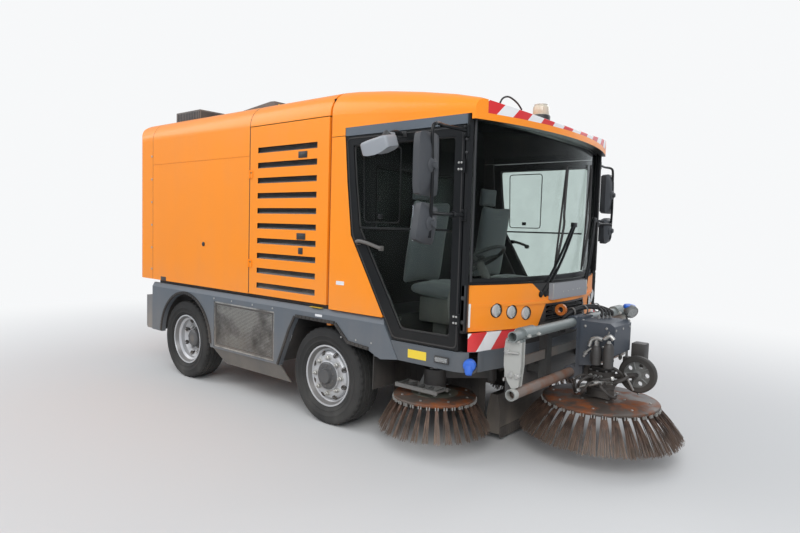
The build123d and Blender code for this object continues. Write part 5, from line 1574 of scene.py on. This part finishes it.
# Carriage: a slate painted sheet cover, screwed on over the lift.
# It stands on steel sleeves that slide along the two cross tubes.
dress(painted("carriage_paint", (0.05, 0.062, 0.08), 0.48, 0.22, 0.9, bump=0.06, vary=0.12), "front_carriage")
bm = bmesh.new()
for x, z in ((1.93, 0.87), (2.08, 0.87), (1.93, 0.66), (2.06, 0.74)):
    add_turned(bm, (x, -0.1155, z), (0, -1, 0),
               [(0.009, -0.001), (0.009, 0.003), (0.004, 0.005), (0, 0.005)], 12)
for y in (-0.09, 0.045, 0.18):
    add_turned(bm, (2.1355, y, 0.86), (1, 0, 0),
               [(0.009, -0.001), (0.009, 0.003), (0.004, 0.005), (0, 0.005)], 12)
for y in (-0.08, 0.08):
    for z in (0.5, 0.9):
        add_turned(bm, (1.8975, y, z), (1, 0, 0), [(0.012, -0.001), (0.012, 0.008), (0, 0.01)], 6)
settle(bm, "carriage_screws", "carriage", zinc)

# Lift cylinders and valves: two short black cylinders beside the cover, with plated elbows and pipes,
# and a bundle of four rubber hoses, tied together, that comes over the cross beam from the truck.
CYLINDER_Y = -0.162
bm = bmesh.new()
for x, z_low, z_high in ((2.035, 0.62, 0.755), (2.118, 0.61, 0.78)):
    tall = z_high - z_low
    add_turned(bm, (x, CYLINDER_Y, z_low), (0, 0, 1),
               [(0.022, 0.0), (0.032, 0.006), (0.034, 0.02), (0.034, tall - 0.03), (0.028, tall - 0.012),
                (0.02, tall), (0.0, tall)], 28)
    add_turned(bm, (x, CYLINDER_Y, z_low + 0.05), (0, 0, 1), [(0.0365, 0.0), (0.0365, 0.012)], 28)
add_block(bm, (1.99, -0.165, 0.64), (2.02, -0.11, 0.70), 0.004)
add_block(bm, (2.07, -0.15, 0.65), (2.085, -0.11, 0.72), 0.004)
add_block(bm, (2.14, 0.215, 0.57), (2.235, 0.315, 0.74), 0.008)
add_block(bm, (2.10, 0.17, 0.60), (2.15, 0.23, 0.64), 0.004)
settle(bm, "lift_cylinders", "carriage", black_plastic)
bm = bmesh.new()
for x in (2.035, 2.118):
    add_turned(bm, (x, CYLINDER_Y, 0.775), (0, 0, 1),
               [(0.017, -0.02), (0.017, 0.006), (0.012, 0.012), (0.012, 0.022), (0, 0.024)], 6)
add_tube(bm, [(1.985, -0.165, 0.745), (2.0, -0.165, 0.79), (2.035, -0.165, 0.806), (2.075, -0.165, 0.8)],
         0.0145, 12, 5)
add_tube(bm, [(2.085, -0.165, 0.806), (2.12, -0.165, 0.83), (2.15, -0.163, 0.808)], 0.0135, 12, 5)
add_rod(bm, (2.078, -0.11, 0.79), (2.1, -0.118, 0.852), 0.005, sides=8)
add_rod(bm, (1.965, -0.165, 0.70), (2.0, -0.165, 0.735), 0.008, sides=8)
add_turned(bm, (1.962, -0.165, 0.695), (-0.7, 0, -0.7), [(0.014, -0.01), (0.014, 0.012), (0, 0.014)], 6)
for k, y in enumerate((0.06, 0.1, 0.14, 0.18)):
    add_turned(bm, (1.955 + 0.012 * k, y, 0.905), (0, 0, 1),
               [(0.012, -0.002), (0.012, 0.01), (0.009, 0.013), (0.009, 0.026), (0, 0.027)], 6)
for x, y in ((2.06, 0.235), (2.1, 0.25)):
    add_rod(bm, (x, y, 0.60), (x, y, 0.90), 0.0085, sides=10)
    for z in (0.62, 0.74, 0.885):
        add_turned(bm, (x, y, z), (0, 0, 1), [(0.014, -0.011), (0.014, 0.011)], 6)
settle(bm, "hydraulic_fittings", "carriage", zinc)
bm = bmesh.new()
for shift, lift in ((0.0, 0.0), (0.028, 0.012), (0.054, -0.004), (0.08, 0.01)):
    add_tube(bm, [(1.76, -0.16 + shift, 0.80), (1.762, -0.155 + shift, 0.88 + lift),
                  (1.80, -0.08 + shift, 0.945 + lift),
                  (1.84, 0.06 + shift * 0.6, 0.972 + lift), (1.90, 0.16 + shift * 0.4, 0.968 + lift),
                  (1.962 + shift * 0.45, 0.1 + shift, 0.955),
                  (1.966 + shift * 0.45, 0.07 + shift * 1.45, 0.925)],
             0.0105, 10, 6)
bundle = settle(bm, "carriage_hoses", None, rubber_black)
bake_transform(bundle)
bm = bmesh.new()
for k in range(3):
    at = Vector((1.80 + 0.045 * k, -0.045 + 0.11 * k, 0.946 + 0.012 * k))
    add_turned(bm, at, (0.35, 0.9, 0.1),
               [(0.03, -0.007), (0.034, -0.004), (0.034, 0.004), (0.03, 0.007)], 16, True)
ties = settle(bm, "hose_ties", None, pale_handle)
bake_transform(ties)

# Work lamp: a small round lamp of worn grey steel with a clear glass and a blue plastic cap.
# It stands on a bent rod beside the cover and shines down on the brush.
LAMP_AIM = (0.75, -0.5, -0.42)
bm = bmesh.new()
add_turned(bm, (2.115, 0.235, 0.965), LAMP_AIM,
           [(0.026, -0.036), (0.04, -0.022), (0.047, 0.0), (0.047, 0.024), (0.043, 0.03), (0.040, 0.026),
            (0.0, 0.022)], 24)
add_tube(bm, [(2.09, 0.245, 0.9), (2.085, 0.25, 0.93), (2.09, 0.25, 0.955)], 0.008, 8, 4)
settle(bm, "work_lamp", "carriage", worn_grey)
bm = bmesh.new()
add_turned(bm, (2.132, 0.2235, 0.9555), LAMP_AIM,
           [(0.0395, 0.0), (0.0395, 0.006), (0.025, 0.011), (0.0, 0.012)], 24)
settle(bm, "work_lamp_glass", "carriage", lens_clear)
bm = bmesh.new()
add_turned(bm, (2.105, 0.242, 0.995), (0.1, -0.08, 1),
           [(0.041, -0.012), (0.044, 0.0), (0.038, 0.011), (0.02, 0.016), (0.0, 0.017)], 24)
settle(bm, "work_lamp_cap", "carriage", blue_cap)

# Brush head: a black hydraulic motor on the brush plate, held by a ring of bolts, with its port block.
# Plated unions screw into the ports, and short rubber hoses loop between them and the arm.
dress(painted("brush_head_paint", (0.022, 0.022, 0.023), 0.5, 0.25, 0.9, metallic=0.2, bump=0.15,
              vary=0.25), "front_arm")
bm = bmesh.new()
add_block(bm, (1.915, -0.085, 0.377), (2.11, 0.085, 0.385), 0.002)
add_block(bm, (1.96, -0.05, 0.555), (2.075, 0.055, 0.585), 0.006)
add_block(bm, (2.02, -0.145, 0.47), (2.09, -0.085, 0.53), 0.006)
add_turned(bm, (HEAD_X, 0, 0.43), (0, 0, 1),
           [(0.0935, 0.0), (0.0965, 0.004), (0.0965, 0.02), (0.0935, 0.024)], 36)
settle(bm, "brush_head_blocks", "brush_carrier", black_plastic)
bm = bmesh.new()
for a in turns(8):
    add_turned(bm, (HEAD_X + 0.078 * math.cos(a), 0.078 * math.sin(a), 0.56), (0, 0, 1),
               [(0.009, -0.001), (0.009, 0.006), (0, 0.008)], 6)
for x, y, way in ((1.975, -0.082, (0, -1, 0)), (2.01, -0.09, (0, -1, 0)), (2.045, -0.086, (0.2, -1, 0)),
                  (2.035, -0.145, (0, -1, 0.1)),
                  (2.075, -0.145, (0.2, -1, 0.1)), (2.09, -0.11, (1, -0.2, 0.1)), (1.975, 0.082, (0, 1, 0)),
                  (2.045, 0.086, (0.1, 1, 0))):
    z = 0.53 if abs(y) < 0.1 else 0.5
    add_turned(bm, (x, y, z), way,
               [(0.0125, -0.006), (0.0125, 0.012), (0.0095, 0.015), (0.0095, 0.034), (0.0115, 0.036),
                (0.0115, 0.05), (0.0, 0.051)], 6)
add_rod(bm, (1.93, -0.19, 0.455), (2.13, -0.15, 0.535), 0.011, sides=12)
add_rod(bm, (2.0, -0.176, 0.483), (2.09, -0.158, 0.519), 0.017, sides=14)
add_rod(bm, (2.17, 0.02, 0.56), (2.22, 0.06, 0.44), 0.008, sides=8)
for x, y, z in ((1.91, -0.14, 0.42), (2.14, -0.135, 0.54), (1.88, -0.10, 0.395)):
    add_turned(bm, (x, y, z), (0.5, -0.6, 0.3), [(0.014, -0.014), (0.014, 0.014), (0, 0.016)], 6)
settle(bm, "brush_head_fittings", "brush_carrier", zinc)
bm = bmesh.new()
loops = (
    [(1.975, -0.127, 0.53), (1.95, -0.185, 0.54), (1.92, -0.205, 0.52), (1.9, -0.19, 0.46),
     (1.88, -0.12, 0.4)],
    [(2.01, -0.135, 0.53), (1.99, -0.2, 0.535), (1.955, -0.23, 0.5), (1.93, -0.19, 0.455)],
    [(2.055, -0.13, 0.53), (2.08, -0.19, 0.535), (2.115, -0.19, 0.54), (2.14, -0.137, 0.54)],
    [(2.035, -0.2, 0.505), (2.02, -0.24, 0.5), (1.98, -0.235, 0.44), (1.95, -0.17, 0.40),
     (1.935, -0.1, 0.395)],
    [(2.085, -0.2, 0.505), (2.11, -0.235, 0.49), (2.15, -0.2, 0.44), (2.16, -0.12, 0.41),
     (2.11, -0.06, 0.395)],
    [(2.145, -0.125, 0.505), (2.19, -0.12, 0.53), (2.215, -0.06, 0.55), (2.19, -0.01, 0.53),
     (2.12, -0.02, 0.5)],
    [(1.975, 0.127, 0.53), (1.955, 0.17, 0.535), (1.925, 0.17, 0.5), (1.91, 0.12, 0.45), (1.925, 0.07, 0.4)],
    [(2.05, 0.13, 0.53), (2.07, 0.175, 0.53), (2.08, 0.17, 0.48), (2.075, 0.12, 0.44), (2.05, 0.07, 0.42)],
    [(2.03, -0.03, 0.58), (2.08, -0.055, 0.595), (2.13, -0.05, 0.59), (2.165, -0.02, 0.55),
     (2.145, 0.02, 0.49)],
)
for k, points in enumerate(loops):
    add_tube(bm, points, 0.0098 if k % 3 else 0.0085, 10, 7)
settle(bm, "brush_head_hoses", "brush_carrier", rubber_black)


# Support wheel: a solid black rubber tyre on a cast grey centre with five spokes.
# It turns on a plain axle in the fork beside the brush and carries the brush at its working height.
SUPPORT_HUB = Vector((2.23, 0.11, 0.545))


def support_marks(tree):
    x, y, z = place_parts(tree)
    off_x = math_node(tree, "SUBTRACT", x, SUPPORT_HUB.x)
    off_z = math_node(tree, "SUBTRACT", z, SUPPORT_HUB.z)
    return [((0.02, 0.02, 0.02), over(tree, reach_of(tree, off_x, off_z), 0.0885))]


dress(painted("support_wheel_casting", (0.13, 0.135, 0.13), 0.55, 0.3, 0.8, metallic=0.2, bump=0.15, vary=0.2,
              marks=support_marks),
      "support_wheel")
bm = bmesh.new()
for face in (-1, 1):
    for a in turns(5, 0.5):
        way = Vector((math.cos(a), 0, math.sin(a)))
        middle = SUPPORT_HUB + Vector((0, face * 0.016, 0))
        add_rod(bm, middle + way * 0.036, middle + way * 0.09, 0.007, 0.006, 8)
    add_turned(bm, SUPPORT_HUB + Vector((0, face * 0.018, 0)), (0, face, 0),
               [(0.034, -0.004), (0.03, 0.006), (0.0145, 0.008), (0.0145, -0.004)], 20, True)
settle(bm, "support_wheel_spokes", "support_wheel_body", worn_grey)

# Suction mouth: a welded steel hood under the cab, open at the bottom, with rubber flaps bolted all along it.
# A ribbed rubber duct leads up from it towards the hopper.
dress(painted("suction_mouth_steel", (0.045, 0.044, 0.043), 0.6, 0.5, 0.6, metallic=0.3, bump=0.2, vary=0.25),
      "suction_nozzle")
bm = bmesh.new()
for k in range(17):
    z = 0.36 + 0.019 * k
    add_block(bm, (1.3565, -0.1535, z), (1.4285, 0.1535, z + 0.009), 0.004, 1)
settle(bm, "suction_duct_ribs", "truck", rubber_black)
bm = bmesh.new()
for x in (1.3355, 1.449):
    for k in range(26):
        y = -0.392 + 0.0302 * k
        add_block(bm, (x - 0.0035, y, 0.022), (x + 0.0035, y + 0.0285, 0.1), 0.001, 1)
settle(bm, "suction_mouth_flaps", "truck", rubber_black)

# Rear end: a slate steel bumper with moulded lamp clusters and a blank plate, screwed on from behind.
# The tailgate above it carries two reflectors, pressed seams, black grab handles and round latch covers.
RED_LENS = (0.55, 0.012, 0.01)
LAMP_PARTS = ((0.779, 0.848, RED_LENS), (0.848, 0.9, (0.72, 0.72, 0.7)), (0.9, 0.95, (0.78, 0.26, 0.01)),
              (0.95, 0.992, RED_LENS))
dress(painted("rear_bumper_paint", SLATE, 0.46, 0.7, 1.0, bump=0.06, vary=0.12), "rear_bumper")


def lamp_marks(tree):
    marks = []
    for side in (-1, 1):
        for y0, y1, shade in LAMP_PARTS:
            marks.append((shade, box_mask(tree, (-2.46, side * y0, 0.55), (-2.436, side * y1, 0.73))))
        marks.append(((0.03, 0.03, 0.03), box_mask(tree, (1.3, side * 1.038, 0.66),
                                                   (1.45, side * 1.05, 0.705))))
    marks.append(((0.5, 0.47, 0.4), box_mask(tree, (1.4, -0.13, 2.36), (1.6, 0.02, 2.6))))
    return marks


dress(painted("lamp_plastic", (0.6, 0.61, 0.6), 0.15, 0.2, 0.9, coat=0.6, bump=0.3, grain=180.0,
              marks=lamp_marks), "lamps")
bm = bmesh.new()
for side in (-1, 1):
    y0, y1 = sorted((side * 0.774, side * 0.996))
    for z in (0.5555, 0.7245):
        add_block(bm, (-2.4535, y0, z - 0.005), (-2.4345, y1, z + 0.005), 0.002)
    for y in (y0 + 0.003, y1 - 0.003, side * 0.848, side * 0.9, side * 0.95):
        add_block(bm, (-2.4535, y - 0.003, 0.556), (-2.4345, y + 0.003, 0.724), 0.001)
    add_block(bm, (-2.441, side * 0.3, 0.43), (-2.431, side * 0.34, 0.5), 0.003)
settle(bm, "rear_lamp_frames", "truck", black_plastic)
bm = bmesh.new()
add_block(bm, (-2.4405, -0.265, 0.575), (-2.4355, 0.265, 0.69), 0.003)
for y in (-0.22, 0.22):
    add_turned(bm, (-2.4405, y, 0.632), (-1, 0, 0), [(0.008, -0.001), (0.006, 0.002), (0, 0.0025)], 10)
settle(bm, "blank_rear_plate", "truck", label_white)
bm = bmesh.new()
for side in (-1, 1):
    add_centred(bm, (-2.5655, side * 0.72, 1.0275), (0.002, 0.09, 0.0225), 0.002)
red_reflector = painted("red_reflector", RED_LENS, 0.2, 0.15, 1.0, coat=0.5, bump=0.5, grain=400.0)
settle(bm, "rear_reflectors", "tailgate_body", red_reflector)
bm = bmesh.new()
for z in (1.33, 1.95):
    add_block(bm, (-2.567, -0.84, z - 0.004), (-2.564, 0.84, z + 0.004), 0.001, 1)
for side in (-1, 1):
    grip = ((-2.565, 0.32), (-2.578, 0.3), (-2.582, 0.24), (-2.582, 0.16), (-2.578, 0.1), (-2.565, 0.08))
    add_tube(bm, [(x, side * y, 1.15) for x, y in grip], 0.009, 10, 5)
    for z in (0.955, 2.2):
        add_turned(bm, (-2.565, side * 0.86, z), (-1, 0, 0),
                   [(0.022, -0.002), (0.022, 0.005), (0.01, 0.009), (0, 0.009)], 20)
settle(bm, "tailgate_trim", "tailgate_body", black_plastic)
